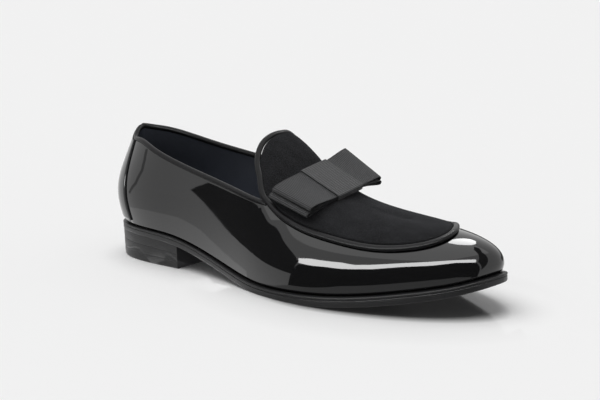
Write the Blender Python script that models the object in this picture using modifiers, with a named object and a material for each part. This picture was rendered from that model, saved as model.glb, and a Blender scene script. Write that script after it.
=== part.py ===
"""Black patent and suede loafer for the right foot, with a flat ribbon bow.

The toe points along +X, the wearer's left is +Y and the floor is z = 0. Every piece is worked out
from one surface, the last: a table of stations runs round the foot from the back of the heel to
the tip of the toe, and at each station an arched section rises from the sole to the spine.
"""

import math

import bmesh
import bpy
import numpy as np

MM = 0.001

# Sizes in millimetres
GAP = 0.3
WALL = 2.0
TUCK_RADIUS = 2.5
TUCK_REACH = 7.0
SUEDE = 1.5
PIPING_HALF = 2.0
PIPING_HEIGHT = 2.5
PLUG_INSET = 2.8
COLLAR_TRIM = 3.4
COLLAR_END = 2.5
STRIP_PLACES = 23
STRIP_THICK = 0.8
HEEL_BREAST = 70.0
HEEL_TAPER = 0.6
HEEL_INSET = 0.4
TONGUE_LENGTH = 17.5
TONGUE_INSET = 3.5
BOW_LATERAL = 40.0
BOW_MEDIAL = 33.5
BOW_WIDTH = 32.0
BOW_BAND = 24.5
BOW_SPINE = 175.0
BOW_ROLL = math.radians(11.0)
BOW_PITCH = math.radians(23.5)
BOW_DROOP_LATERAL = 3.0
BOW_DROOP_MEDIAL = 1.3
BOW_TWIST = 2.0
BOW_RISE = 3.4
BOW_PRESS = 0.6
BOW_STEP = 1.0
BOW_CLEAR = 2.4
RIBBON = 0.55

# One row for each station round the foot, heel to toe.
# x, lateral and medial: plan of the feather line, seat: top of the sole, tread: underside of the
# sole, spine: where the section's plane meets the spine, ledge: how far the sole stands out,
# bulge: most swell of the wall, low: how low down the wall that is, full_lateral and full_medial:
# squareness of the arch (2 is an ellipse), plug_lateral and plug_medial: how far from the spine the
# plug's piping runs, steps: mesh steps to the next station.
STATION_COLUMNS = (
    "x", "lateral", "medial", "seat", "tread", "spine", "ledge", "bulge", "low",
    "full_lateral", "full_medial", "plug_lateral", "plug_medial", "steps",
)
STATIONS = {
    "heel_back":   (1.0, 0.0, 0.0, 23.4, 18.4, 23.0, 1.6, 4.9, 11.0, 2.24, 2.24, 20.0, 20.0, 3),
    "heel_corner": (7.5, 17.0, 17.0, 23.5, 18.5, 29.5, 1.4, 4.5, 10.0, 1.95, 2.00, 20.0, 20.0, 4),
    "heel_side":   (32.0, 29.2, 28.8, 23.3, 18.2, 45.0, 1.0, 3.2, 6.0, 1.90, 2.00, 20.0, 20.0, 3),
    "heel_breast": (64.0, 31.2, 28.5, 21.6, 16.3, 70.0, 1.0, 2.8, 4.0, 2.00, 2.10, 20.0, 20.0, 3),
    "waist":       (98.0, 34.3, 26.5, 15.0, 9.5, 102.0, 1.2, 2.9, 3.0, 2.00, 2.40, 24.0, 18.0, 3),
    "shank":       (126.0, 40.3, 28.6, 8.8, 3.2, 128.0, 1.5, 3.2, 3.0, 2.00, 2.80, 36.0, 19.0, 3),
    "throat":      (150.0, 46.9, 33.8, 5.8, -0.2, 150.0, 1.9, 3.1, 3.0, 2.00, 2.90, 39.3, 20.6, 3),
    "joint":       (176.0, 51.0, 41.3, 5.8, -0.5, 172.0, 2.3, 2.9, 3.0, 2.10, 2.50, 40.6, 31.0, 3),
    "ball":        (204.0, 50.0, 46.0, 7.2, 0.7, 195.5, 2.5, 2.7, 3.0, 2.25, 2.25, 39.3, 35.8, 3),
    "forepart":    (236.0, 43.1, 44.6, 11.0, 4.4, 216.5, 2.5, 2.5, 3.0, 2.50, 2.40, 38.7, 36.2, 3),
    "toe_side":    (264.0, 32.0, 36.5, 15.8, 9.2, 228.0, 2.5, 2.4, 3.0, 2.80, 2.80, 39.0, 35.2, 3),
    "toe_corner":  (287.0, 16.0, 24.5, 20.6, 14.4, 232.0, 2.5, 2.0, 3.0, 3.20, 3.20, 39.8, 33.8, 4),
    "toe_tip":     (299.5, -6.0, 6.0, 24.6, 18.8, 233.0, 2.5, 1.9, 3.0, 3.30, 3.30, 36.2, 36.2, 0),
}

# The spine runs along the top of the last: x, y and height.
SPINE = (
    (22.0, 0.0, 104.0),
    (70.0, 0.0, 97.0),
    (102.0, 2.0, 98.5),
    (120.0, 4.0, 97.0),
    (134.0, 5.0, 93.2),
    (150.0, 4.5, 81.6),
    (160.0, 3.0, 71.6),
    (170.0, 1.2, 65.8),
    (180.0, 0.0, 61.0),
    (193.0, -1.0, 56.6),
    (216.0, -1.0, 51.4),
    (233.0, 0.0, 48.5),
)

# Finished top line: x, height on the lateral side, height on the medial side.
TOP_LINE = (
    (9.0, 91.4, 91.4),
    (13.0, 85.7, 90.0),
    (20.0, 84.0, 88.8),
    (40.0, 80.3, 84.6),
    (65.0, 73.9, 80.0),
    (95.0, 68.2, 75.5),
    (125.0, 63.2, 70.8),
    (155.0, 57.6, 66.3),
)

# Round edge of the tongue behind the throat, as shares of its length and of the reach at the throat.
# spine: how far back a column meets the spine, and medial_out: how far out it ends on the medial
# side. lateral_back and lateral_out: where it ends on the lateral side, which is cut rounder.
TONGUE_COLUMNS = ("spine", "lateral_back", "lateral_out", "medial_out")
TONGUE_EDGE = (
    (0.20, 0.20, 0.950, 0.98),
    (0.42, 0.42, 0.860, 0.93),
    (0.63, 0.63, 0.785, 0.85),
    (0.79, 0.82, 0.700, 0.73),
    (0.90, 1.00, 0.560, 0.57),
    (0.95, 1.08, 0.420, 0.41),
    (0.975, 1.07, 0.260, 0.25),
    (0.985, 1.02, 0.100, 0.10),
)

# The back strip's half width round the heel, by share of the way from the sole to the top line.
STRIP_COLUMNS = ("share", "half")
STRIP_EDGE = (
    (0.00, 38.5),
    (0.29, 35.0),
    (0.47, 33.2),
    (0.74, 28.6),
    (1.00, 22.0),
)

# Rows of the upper between the feather line and the plug or top line, and under the plug.
WALL_ROWS = 8
COVER_ROWS = 5

# Edge of the sole, from its top: distance in from the ledge, and depth as a share of the edge.
SOLE_EDGE = (
    (0.7, 0.00),
    (0.0, 0.12),
    (0.0, 0.24),
    (0.45, 0.31),
    (0.1, 0.38),
    (0.1, 0.85),
    (0.6, 1.00),
)

# Side of the heel block, from its top: extra inset at each lift line, and height as a share.
HEEL_SIDE = (
    (0.0, 1.00),
    (0.0, 0.70),
    (0.25, 0.67),
    (0.0, 0.64),
    (0.0, 0.36),
    (0.25, 0.33),
    (0.0, 0.30),
    (0.0, 0.08),
    (0.6, 0.00),
)

# Edge of the insole board: inset from the feather line and height above the sole.
INSOLE_EDGE = (
    (8.2, 0.4),
    (8.2, 2.9),
    (3.4, 2.9),
    (3.4, 4.9),
)

COLOURS = {
    # name: colour, roughness
    "patent": ((0.006, 0.006, 0.007), 0.06),
    "suede": ((0.010, 0.010, 0.011), 0.95),
    "binding": ((0.012, 0.012, 0.013), 0.45),
    "ribbon": ((0.030, 0.030, 0.032), 0.55),
    "sole_edge": ((0.018, 0.018, 0.019), 0.40),
    "heel_stack": ((0.016, 0.016, 0.017), 0.42),
    "lining": ((0.012, 0.014, 0.020), 0.60),
}


def cubic(knots, values, period=None):
    """Smooth curve through the values: closed if a period is given, free at its ends otherwise."""
    knots = np.asarray(knots, float)
    values = np.asarray(values, float)
    count = len(knots)
    ends = knots if period is None else np.append(knots, knots[0] + period)
    rows = values if period is None else np.vstack([values, values[:1]])
    width = np.diff(ends)
    slope = np.diff(rows, axis=0) / width[:, None]
    matrix = np.eye(count)
    right = np.zeros_like(values)
    inner = range(1, count - 1) if period is None else range(count)
    for i in inner:
        after = (i + 1) % count
        matrix[i, i] = 2 * (width[i - 1] + width[i])
        matrix[i, i - 1] += width[i - 1]
        matrix[i, after] += width[i]
        right[i] = 6 * (slope[i] - slope[i - 1])
    bend = np.linalg.solve(matrix, right)
    if period is not None:
        bend = np.vstack([bend, bend[:1]])

    def at(place):
        place = np.atleast_1d(np.asarray(place, float))
        if period is not None:
            place = (place - knots[0]) % period + knots[0]
        place = np.clip(place, ends[0], ends[-1])
        i = np.clip(np.searchsorted(ends, place, side="right") - 1, 0, len(width) - 1)
        step = (place - ends[i])[:, None]
        span = width[i][:, None]
        first = slope[i] - span * (2 * bend[i] + bend[i + 1]) / 6
        third = (bend[i + 1] - bend[i]) / (6 * span)
        return rows[i] + step * first + step ** 2 * bend[i] / 2 + step ** 3 * third

    return at


def unit(vectors):
    return vectors / np.linalg.norm(vectors, axis=-1, keepdims=True)


class Last:
    """The shape inside the shoe. A place on it is a loop distance and an angle up the section."""

    def __init__(self):
        table = {name: dict(zip(STATION_COLUMNS, row)) for name, row in STATIONS.items()}
        rows = list(table.values())
        lateral = [self.loop_row(row, "lateral", -1) for row in rows]
        medial = [self.loop_row(row, "medial", 1) for row in rows]
        chords = [
            (math.dist(a[:2], b[:2]) + math.dist(c[:2], d[:2])) / 2
            for a, b, c, d in zip(lateral, lateral[1:], medial, medial[1:])
        ]
        half_knots = np.concatenate([[0.0], np.cumsum(chords)])
        self.toe = half_knots[-1]
        self.period = 2 * self.toe
        knots = np.concatenate([half_knots, self.period - half_knots[-2:0:-1]])
        self.loop = cubic(knots, lateral + medial[-2:0:-1], self.period)
        spine = np.array(SPINE)
        self.spine_limits = spine[0, 0], spine[-1, 0]
        self.spine = cubic(spine[:, 0], spine[:, 1:])
        top_line = np.array(TOP_LINE)
        self.top_line = cubic(top_line[:, 0], top_line[:, 1:])
        self.knot_of = dict(zip(STATIONS, half_knots))
        steps = [
            np.linspace(start, end, row["steps"], endpoint=False)
            for start, end, row in zip(half_knots, half_knots[1:], rows)
        ]
        collar_end = self.knot_of["throat"] - COLLAR_END
        self.half = np.sort(np.concatenate(steps + [half_knots[-1:], [collar_end]]))

    @staticmethod
    def loop_row(row, side, sign):
        names = ("seat", "tread", "spine", "ledge", "bulge", "low", "full_" + side, "plug_" + side)
        return (row["x"], sign * row[side], *(row[name] for name in names))

    def around(self):
        """Loop places of the mesh columns: lateral side to the toe, then back along the medial."""
        return np.concatenate([self.half, self.period - self.half[-2:0:-1]])

    def is_medial(self, loop):
        """1 for places on the medial side and 0 for lateral ones."""
        return (np.asarray(loop) > self.toe).astype(int)

    def foot(self, loop):
        """Feather points, where the wall turns in over the sole."""
        row = self.loop(loop)
        return np.column_stack([row[:, :2], row[:, 2] + GAP + TUCK_RADIUS])

    def crest(self, loop):
        """Spine points that the sections rise to."""
        along = np.clip(self.loop(loop)[:, 4], *self.spine_limits)
        return np.column_stack([along, self.spine(along)])

    def outward(self, loop):
        """Level direction from each feather point away from the spine, and the distance to it."""
        across = (self.foot(loop) - self.crest(loop))[:, :2]
        reach = np.linalg.norm(across, axis=1)
        return across / reach[:, None], reach

    def point(self, loop, angle):
        loop, angle = np.broadcast_arrays(np.asarray(loop, float), np.asarray(angle, float))
        shape = loop.shape
        loop, angle = loop.ravel(), angle.ravel()
        row = self.loop(loop)
        foot, crest = self.foot(loop), self.crest(loop)
        direction, reach = self.outward(loop)
        flat, rise = np.clip(np.cos(angle), 0.0, 1.0), np.sin(angle)
        bulge, low, full = row[:, 6], row[:, 7], row[:, 8]
        most = (low / (low + 1)) ** (low / 2) / np.sqrt(low + 1)
        out = reach * flat ** (2 / full) + bulge * rise * flat ** low / most
        height = foot[:, 2] + (crest[:, 2] - foot[:, 2]) * rise
        return np.column_stack([crest[:, :2] + direction * out[:, None], height]).reshape(shape + (3,))

    def normal(self, loop, angle):
        """Outward normal; just below the spine it stands for the spine's own."""
        loop = np.asarray(loop, float)
        angle = np.minimum(np.asarray(angle, float), math.radians(86))
        along = self.point(loop + 0.2, angle) - self.point(loop - 0.2, angle)
        up = self.point(loop, angle + 0.002) - self.point(loop, angle - 0.002)
        return unit(np.cross(along, up))

    def angle_at_reach(self, loop, reach):
        """Angle at which the wall stands this far from the spine."""
        low, high = np.zeros(len(loop)), np.full(len(loop), math.pi / 2)
        crest = self.crest(loop)
        for _ in range(40):
            middle = (low + high) / 2
            out = np.linalg.norm((self.point(loop, middle) - crest)[:, :2], axis=1)
            low = np.where(out > reach, middle, low)
            high = np.where(out > reach, high, middle)
        return (low + high) / 2

    def angle_at_top_line(self, loop):
        """Angle at which the wall reaches the finished top line."""
        foot, crest = self.foot(loop), self.crest(loop)
        side = self.is_medial(loop)
        angle = np.full(len(loop), 0.8)
        for _ in range(12):
            height = self.top_line(self.point(loop, angle)[:, 0])[np.arange(len(loop)), side]
            angle = np.arcsin(np.clip((height - foot[:, 2]) / (crest[:, 2] - foot[:, 2]), 0.0, 1.0))
        return angle

    def angle_moved(self, loop, angle, distance):
        """The angle a distance further up the wall."""
        speed = np.linalg.norm(self.point(loop, angle + 0.002) - self.point(loop, angle - 0.002), axis=1)
        return angle + distance * 0.004 / speed

    def loop_of_spine(self, along):
        """Loop place on the lateral side whose section meets the spine here."""
        places = np.linspace(0.0, self.toe, 800)
        return np.interp(along, self.crest(places)[:, 0], places)

    def piping_angle(self, loop):
        """Angle of the middle of the piping round the plug."""
        return self.angle_at_reach(loop, self.loop(loop)[:, 9])


LAST = Last()
THROAT = LAST.knot_of["throat"]
SPINE_THROAT = STATIONS["throat"][STATION_COLUMNS.index("spine")]


def is_forward(loop):
    """True for the columns that the plug covers, from the throat round the toe."""
    return (loop >= THROAT - 1e-6) & (loop <= LAST.period - THROAT + 1e-6)


def make_material(name):
    colour, roughness = COLOURS[name]
    material = bpy.data.materials.new(name)
    material.use_nodes = True
    shader = material.node_tree.nodes["Principled BSDF"]
    shader.inputs["Base Color"].default_value = (*colour, 1.0)
    shader.inputs["Roughness"].default_value = roughness
    shader.inputs["Metallic"].default_value = 0.0
    return material


def make_object(name, points, faces, material, collection):
    """Mesh object from points in millimetres, with doubled points joined and faces turned out."""
    mesh = bpy.data.meshes.new(name)
    mesh.from_pydata([tuple(float(c) * MM for c in point) for point in points], [], faces)
    work = bmesh.new()
    work.from_mesh(mesh)
    bmesh.ops.remove_doubles(work, verts=work.verts, dist=1e-6)
    bmesh.ops.dissolve_degenerate(work, edges=work.edges, dist=1e-6)
    work.to_mesh(mesh)
    work.free()
    mesh.shade_smooth()
    mesh.set_sharp_from_angle(angle=math.radians(40))
    mesh.materials.append(material)
    part = bpy.data.objects.new(name, mesh)
    collection.objects.link(part)
    return part


def grid_faces(columns, rows, closed):
    """Quads of a grid whose points are stored column by column."""
    last = columns if closed else columns - 1
    return [
        (
            i * rows + j,
            (i + 1) % columns * rows + j,
            (i + 1) % columns * rows + j + 1,
            i * rows + j + 1,
        )
        for i in range(last)
        for j in range(rows - 1)
    ]


def add_wall(part, thickness, lift=0.0):
    """Lift an open surface along its normals and give it a thickness below that."""
    if lift:
        raise_up = part.modifiers.new("lift", "DISPLACE")
        raise_up.strength = lift * MM
        raise_up.mid_level = 0.0
    wall = part.modifiers.new("wall", "SOLIDIFY")
    wall.thickness = thickness * MM
    wall.offset = -1.0
    wall.use_even_offset = True
    wall.use_quality_normals = True


def sweep(name, rings, closed, material, collection):
    """Solid through rings of points; an open one is capped at both ends."""
    count, size = len(rings), len(rings[0])
    last = count if closed else count - 1
    faces = [
        (
            i * size + j,
            i * size + (j + 1) % size,
            (i + 1) % count * size + (j + 1) % size,
            (i + 1) % count * size + j,
        )
        for i in range(last)
        for j in range(size)
    ]
    if not closed:
        faces.append(tuple(reversed(range(size))))
        faces.append(tuple((count - 1) * size + j for j in range(size)))
    return make_object(name, np.concatenate(rings), faces, material, collection)


def slab(name, lateral, medial, material, collection):
    """Solid between two edges: profiles[column][row] on each side, joined straight across."""
    rings = [np.concatenate([one, other[::-1]]) for one, other in zip(lateral, medial)]
    return sweep(name, rings, False, material, collection)


def top_angle(loop):
    """Upper end of the wall: the plug's edge in front of the throat, the trimmed edge behind it."""
    plug_edge = LAST.angle_moved(loop, LAST.piping_angle(loop), PLUG_INSET)
    top_line = LAST.angle_at_top_line(loop)
    return np.where(is_forward(loop), plug_edge, LAST.angle_moved(loop, top_line, -COLLAR_TRIM))


def tuck_points(loop):
    """Rows under the feather line, from the inner edge of the lasting margin outwards."""
    height = LAST.foot(loop)[:, 2]
    turns = [math.radians(a) for a in (90, 60, 30)]
    inset = [TUCK_REACH] + [TUCK_RADIUS * (1 - math.cos(a)) for a in turns]
    drop = [TUCK_RADIUS] + [TUCK_RADIUS * math.sin(a) for a in turns]
    rows = [
        np.column_stack([outline(loop, np.full(len(loop), -inward)), height - down])
        for inward, down in zip(inset, drop)
    ]
    return np.stack(rows, axis=1)


def build_upper(material, collection):
    """Patent quarters and vamp in one wall, open at the collar and underneath."""
    loop = LAST.around()
    share = np.linspace(0.0, 1.0, WALL_ROWS + 1)
    wall = LAST.point(loop[:, None], top_angle(loop)[:, None] * share)
    band = np.concatenate([tuck_points(loop), wall], axis=1)
    rows = band.shape[1]
    faces = grid_faces(len(loop), rows, True)
    forward = loop[is_forward(loop)]
    start = top_angle(forward)[:, None]
    cover_share = np.linspace(0.0, 1.0, COVER_ROWS + 1)
    cover = LAST.point(forward[:, None], start + (math.pi / 2 - start) * cover_share)
    base = len(loop) * rows
    faces += [
        tuple(base + k for k in face) for face in grid_faces(len(forward), COVER_ROWS + 1, False)
    ]
    points = np.concatenate([band.reshape(-1, 3), cover.reshape(-1, 3)])
    part = make_object("upper", points, faces, material, collection)
    add_wall(part, WALL)
    return part


def throat_reach(angle):
    """Level distance from the spine to the throat column at this angle, lateral then medial."""
    throat = np.array([THROAT, LAST.period - THROAT])
    return np.linalg.norm((LAST.point(throat, angle) - LAST.crest(throat))[:, :2], axis=1)


def tongue_edge(length, reach):
    """Places on the tongue's round edge, their angles, and the spine places their columns run to.

    The lateral rows start at the end of the tongue and the medial ones finish there.
    """
    table = dict(zip(TONGUE_COLUMNS, np.array(TONGUE_EDGE).T))
    crest = LAST.loop_of_spine(SPINE_THROAT - length * table["spine"])
    lateral = LAST.loop_of_spine(SPINE_THROAT - length * table["lateral_back"])
    lateral_angle = LAST.angle_at_reach(lateral, reach[0] * table["lateral_out"])
    medial = LAST.period - crest
    medial_angle = LAST.angle_at_reach(medial, reach[1] * table["medial_out"])
    return (lateral[::-1], lateral_angle[::-1], crest[::-1]), (medial, medial_angle, medial)


def forward_columns():
    loop = LAST.around()
    return loop[is_forward(loop)]


def build_plug(material, collection):
    """Suede plug over the vamp, carried on behind the throat as the free tongue."""
    forward = forward_columns()
    edge = top_angle(forward)
    reach = throat_reach(edge[[0, -1]])
    reach = reach - (TONGUE_INSET - PLUG_INSET)
    lateral, medial = tongue_edge(TONGUE_LENGTH - TONGUE_INSET, reach)
    loop, start, crest = (
        np.concatenate(rows)[:, None] for rows in zip(lateral, (forward, edge, forward), medial)
    )
    share = np.linspace(0.0, 1.0, COVER_ROWS + 1)
    points = LAST.point(loop + (crest - loop) * share, start + (math.pi / 2 - start) * share)
    faces = grid_faces(len(loop), COVER_ROWS + 1, False)
    part = make_object("vamp_plug", points.reshape(-1, 3), faces, material, collection)
    add_wall(part, SUEDE, lift=GAP + SUEDE)
    return part


def piping_path():
    """Loop places and angles of the middle of the piping, once round plug and tongue."""
    forward = forward_columns()
    edge = LAST.piping_angle(forward)
    reach = throat_reach(edge[[0, -1]])
    lateral, medial = tongue_edge(TONGUE_LENGTH, reach)
    end = LAST.loop_of_spine(SPINE_THROAT - TONGUE_LENGTH)
    loop = np.concatenate([[end], lateral[0], forward, medial[0]])
    angle = np.concatenate([[math.pi / 2], lateral[1], edge, medial[1]])
    return loop, angle


def section_rings(path, normal, section, closed):
    """Rings of (side, lift) section points, square to a path on a surface."""
    if closed:
        ahead = np.roll(path, -1, axis=0) - np.roll(path, 1, axis=0)
    else:
        ahead = np.gradient(path, axis=0)
    side = unit(np.cross(unit(ahead), normal))
    return [
        np.array([p + s * across + n * up for across, up in section])
        for p, s, n in zip(path, side, normal)
    ]


def build_piping(material, collection):
    """Rounded leather piping round the edge of plug and tongue."""
    loop, angle = piping_path()
    path = LAST.point(loop, angle)
    normal = LAST.normal(loop, angle)
    normal[0] = unit(normal[1] + normal[-1])
    foot = PIPING_HALF * 0.85
    section = (
        (-foot, GAP),
        (foot, GAP),
        (PIPING_HALF, GAP + PIPING_HEIGHT * 0.45),
        (PIPING_HALF * 0.6, GAP + PIPING_HEIGHT * 0.88),
        (0.0, GAP + PIPING_HEIGHT),
        (-PIPING_HALF * 0.6, GAP + PIPING_HEIGHT * 0.88),
        (-PIPING_HALF, GAP + PIPING_HEIGHT * 0.45),
    )
    rings = section_rings(path, normal, section, True)
    return sweep("plug_piping", rings, True, material, collection)


def build_collar_binding(material, collection):
    """Leather binding that sits on the upper's top edge, from one side of the tongue to the other."""
    half = LAST.half[LAST.half < THROAT - COLLAR_END / 2]
    loop = np.concatenate([half[::-1], LAST.period - half[1:]])
    edge = LAST.angle_moved(loop, LAST.angle_at_top_line(loop), -COLLAR_TRIM)
    path = LAST.point(loop, edge)
    normal = LAST.normal(loop, edge)
    upward = unit(LAST.point(loop, edge + 0.02) - path)
    proud = 0.7
    section = (
        (proud, GAP),
        (proud + 0.1, COLLAR_TRIM * 0.5),
        (0.1, COLLAR_TRIM * 0.9),
        (-WALL / 2, COLLAR_TRIM),
        (-WALL - 0.1, COLLAR_TRIM * 0.9),
        (-WALL - proud - 0.1, COLLAR_TRIM * 0.5),
        (-WALL - proud, GAP),
    )
    rings = [
        np.array([p + n * out + u * up for out, up in section])
        for p, n, u in zip(path, normal, upward)
    ]
    return sweep("collar_binding", rings, False, material, collection)


def build_back_strip(material, collection):
    """Patent strip round the heel's back, from the sole to the binding and wider below."""
    table = dict(zip(STRIP_COLUMNS, np.array(STRIP_EDGE).T))
    share = np.linspace(0.02, 1.0, WALL_ROWS + 1)
    half = cubic(table["share"], table["half"][:, None])(share)[:, 0]
    places = (np.linspace(-1.0, 1.0, STRIP_PLACES)[:, None] * half).ravel()
    top = LAST.angle_moved(places, LAST.angle_at_top_line(places), -COLLAR_TRIM - GAP)
    points = LAST.point(places, top * np.tile(share, STRIP_PLACES))
    faces = grid_faces(STRIP_PLACES, WALL_ROWS + 1, False)
    part = make_object("back_strip", points.reshape(-1, 3), faces, material, collection)
    add_wall(part, STRIP_THICK, lift=GAP + STRIP_THICK)
    return part


def outline(loop, offset):
    """Plan of the feather line moved outwards by an offset, square to the line itself."""
    ahead = unit(LAST.loop(loop + 0.5)[:, :2] - LAST.loop(loop - 0.5)[:, :2])
    square = np.column_stack([ahead[:, 1], -ahead[:, 0]])
    return LAST.loop(loop)[:, :2] + square * np.reshape(offset, (-1, 1))


def tread_height(loop):
    """Underside of the sole, flat on the floor under the ball of the foot."""
    return np.maximum(LAST.loop(loop)[:, 3], 0.0)


def sole_edge(loop):
    """Profiles of the sole's edge, one for each loop place, from the top down."""
    row = LAST.loop(loop)
    low = tread_height(loop)
    profiles = []
    for inward, depth in SOLE_EDGE:
        level = outline(loop, row[:, 5] - inward)
        profiles.append(np.column_stack([level, row[:, 2] + (low - row[:, 2]) * depth]))
    return np.stack(profiles, axis=1)


def build_outsole(material, collection):
    lateral = sole_edge(LAST.half)
    medial = sole_edge(LAST.period - LAST.half)
    return slab("outsole", lateral, medial, material, collection)


def heel_edge(loop):
    """Profiles of the heel block's side, from its top down to the floor."""
    top = tread_height(loop) - GAP
    profiles = []
    for inset, share in HEEL_SIDE:
        taper = HEEL_TAPER * (1 - share)
        level = outline(loop, LAST.loop(loop)[:, 5] - HEEL_INSET - taper - inset)
        profiles.append(np.column_stack([level, top * share]))
    return np.stack(profiles, axis=1)


def build_heel(material, collection):
    """Stacked heel block with a straight breast and two fine lift lines."""
    places = np.linspace(0.0, LAST.toe, 800)
    breast = float(np.interp(HEEL_BREAST, LAST.loop(places)[:, 0], places))
    half = np.append(LAST.half[LAST.half < breast - 3.0], breast)
    lateral = heel_edge(half)
    medial = heel_edge(LAST.period - half)
    lateral[-1, :, 0] = HEEL_BREAST
    medial[-1, :, 0] = HEEL_BREAST
    return slab("heel", lateral, medial, material, collection)


def insole_edge(loop):
    seat = LAST.loop(loop)[:, 2]
    profiles = [
        np.column_stack([outline(loop, np.full(len(loop), -inset)), seat + height])
        for inset, height in INSOLE_EDGE
    ]
    return np.stack(profiles, axis=1)


def build_insole(material, collection):
    """Insole board set into the lasting margin and covering it."""
    half = LAST.half[1:-1]
    lateral = insole_edge(half)[:, ::-1]
    medial = insole_edge(LAST.period - half)[:, ::-1]
    return slab("insole", lateral, medial, material, collection)


def bow_frame():
    """Centre of the bow over the plug, and its directions along the bow, down the vamp and up."""
    centre = np.append(BOW_SPINE, LAST.spine(BOW_SPINE))
    down = np.array([math.cos(BOW_PITCH), 0.0, -math.sin(BOW_PITCH)])
    level = np.array([0.0, math.cos(BOW_ROLL), math.sin(BOW_ROLL)])
    along = unit(level - down * np.dot(level, down))
    return centre, along, down, np.cross(down, along)


def ribbon_loop(lateral, medial, side):
    """Outline of a flattened ribbon loop as (along, up) points: outer ring and inner ring.

    The middle is pressed flat under the band. The face towards the other loop stays straight and
    the far face swells to the full rise at the ends, upwards if side is 1 and downwards if -1.
    """
    flat = BOW_BAND / 2 + 1.0
    ends = (-lateral + BOW_RISE / 2, medial - BOW_RISE / 2)
    turns = np.radians(np.linspace(-90, 90, 7))
    steps = np.concatenate(
        [np.linspace(ends[1], flat, 5)[1:], [0.0], np.linspace(-flat, ends[0], 6)[:-1]]
    )

    def swell(x):
        reach = ends[1] if x > 0 else -ends[0]
        share = min(max((abs(x) - flat) / (reach - flat), 0.0), 1.0)
        return share * share * (3 - 2 * share) * (BOW_RISE / 2 - BOW_PRESS)

    def settle(x, y):
        droop = BOW_DROOP_MEDIAL if x > 0 else BOW_DROOP_LATERAL
        return x, y - droop * outer_share(x) ** 2

    def ring(inset):
        end = BOW_RISE / 2 - inset
        middle = side * swell(ends[1])
        right = [(ends[1] + end * math.cos(t), middle + end * math.sin(t)) for t in turns]
        top = [(x, side * swell(x) + BOW_PRESS + swell(x) - inset) for x in steps]
        left = [(ends[0] - end * math.cos(t), middle - end * math.sin(t)) for t in turns]
        bottom = [(x, side * swell(x) - BOW_PRESS - swell(x) + inset) for x in steps[::-1]]
        return [settle(x, y) for x, y in right + top + left + bottom]

    return ring(0.0), ring(RIBBON)


def outer_share(along):
    """How far a place on the bow is from the band's edge towards the end, as a share."""
    flat = BOW_BAND / 2 + 1.0
    reach = BOW_MEDIAL if along > 0 else BOW_LATERAL
    return max(abs(along) - flat, 0.0) / (reach - flat)


def twisted(along, down):
    """Lift of a place on a loop: the ends are turned against each other, the middle stays flat."""
    return -math.copysign(outer_share(along), along) * BOW_TWIST * down / (BOW_WIDTH / 2)


def build_bow_loop(name, longer, side, lift, material, collection):
    """One flattened loop of ribbon, open along its long sides."""
    centre, along, down, up = bow_frame()
    edge = BOW_WIDTH / 2
    outer, inner = ribbon_loop(BOW_LATERAL + longer, BOW_MEDIAL + longer, side)
    rings = []
    for (ox, oy), (ix, iy) in zip(outer, inner):
        corners = [(ox, oy, share * edge) for share in (-1.0, 0.0, 1.0)]
        corners += [(ix, iy, share * edge) for share in (1.0, 0.0, -1.0)]
        rings.append(
            np.array(
                [centre + along * x + up * (y + lift + twisted(x, d)) + down * d for x, y, d in corners]
            )
        )
    return sweep(name, rings, True, material, collection)


def build_bow_band(low, high, material, collection):
    """Flat band of ribbon round the middle of both loops."""
    centre, along, down, up = bow_frame()
    reach = BOW_WIDTH / 2 + GAP + RIBBON

    def ring(inset, corner):
        front, base, top = reach - inset, low + inset, high - inset
        side = [(front, base + corner), (front, top - corner)]
        over = [(front - corner, top), (corner - front, top)]
        back = [(-front, top - corner), (-front, base + corner)]
        under = [(corner - front, base), (front - corner, base)]
        return side + over + back + under

    rings = []
    for (od, ou), (inner_d, inner_u) in zip(ring(0.0, RIBBON), ring(RIBBON, GAP / 2)):
        corners = (
            (-BOW_BAND / 2, od, ou), (BOW_BAND / 2, od, ou),
            (BOW_BAND / 2, inner_d, inner_u), (-BOW_BAND / 2, inner_d, inner_u),
        )
        rings.append(np.array([centre + along * x + down * d + up * u for x, d, u in corners]))
    return sweep("bow_band", rings, True, material, collection)


def build_bow(material, collection):
    """Two stacked loops and their band, resting on the plug."""
    rest = GAP + SUEDE + BOW_CLEAR
    first = rest + RIBBON + GAP + BOW_PRESS
    second = first + 2 * BOW_PRESS + GAP
    high = second + BOW_PRESS + GAP + RIBBON
    return [
        build_bow_loop("bow_lower_loop", BOW_STEP, -1, first, material, collection),
        build_bow_loop("bow_upper_loop", -BOW_STEP, 1, second, material, collection),
        build_bow_band(rest, high, material, collection),
    ]


def face_outwards(part):
    """Turn a closed mesh's faces out."""
    work = bmesh.new()
    work.from_mesh(part.data)
    bmesh.ops.recalc_face_normals(work, faces=work.faces)
    if work.calc_volume(signed=True) < 0:
        bmesh.ops.reverse_faces(work, faces=work.faces)
    work.to_mesh(part.data)
    work.free()


def stand_at_origin(parts, collection):
    """Parent all pieces to one empty that puts the middle of the shoe over the origin."""
    bpy.context.view_layer.update()
    graph = bpy.context.evaluated_depsgraph_get()
    corners = []
    for part in parts:
        corners += [tuple(corner) for corner in part.evaluated_get(graph).bound_box]
    corners = np.array(corners)
    middle = (corners.min(axis=0) + corners.max(axis=0)) / 2
    stand = bpy.data.objects.new("loafer_stand", None)
    collection.objects.link(stand)
    stand.location = (-middle[0], -middle[1], -corners[:, 2].min())
    for part in parts:
        part.parent = stand
    bpy.context.view_layer.update()


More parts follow.
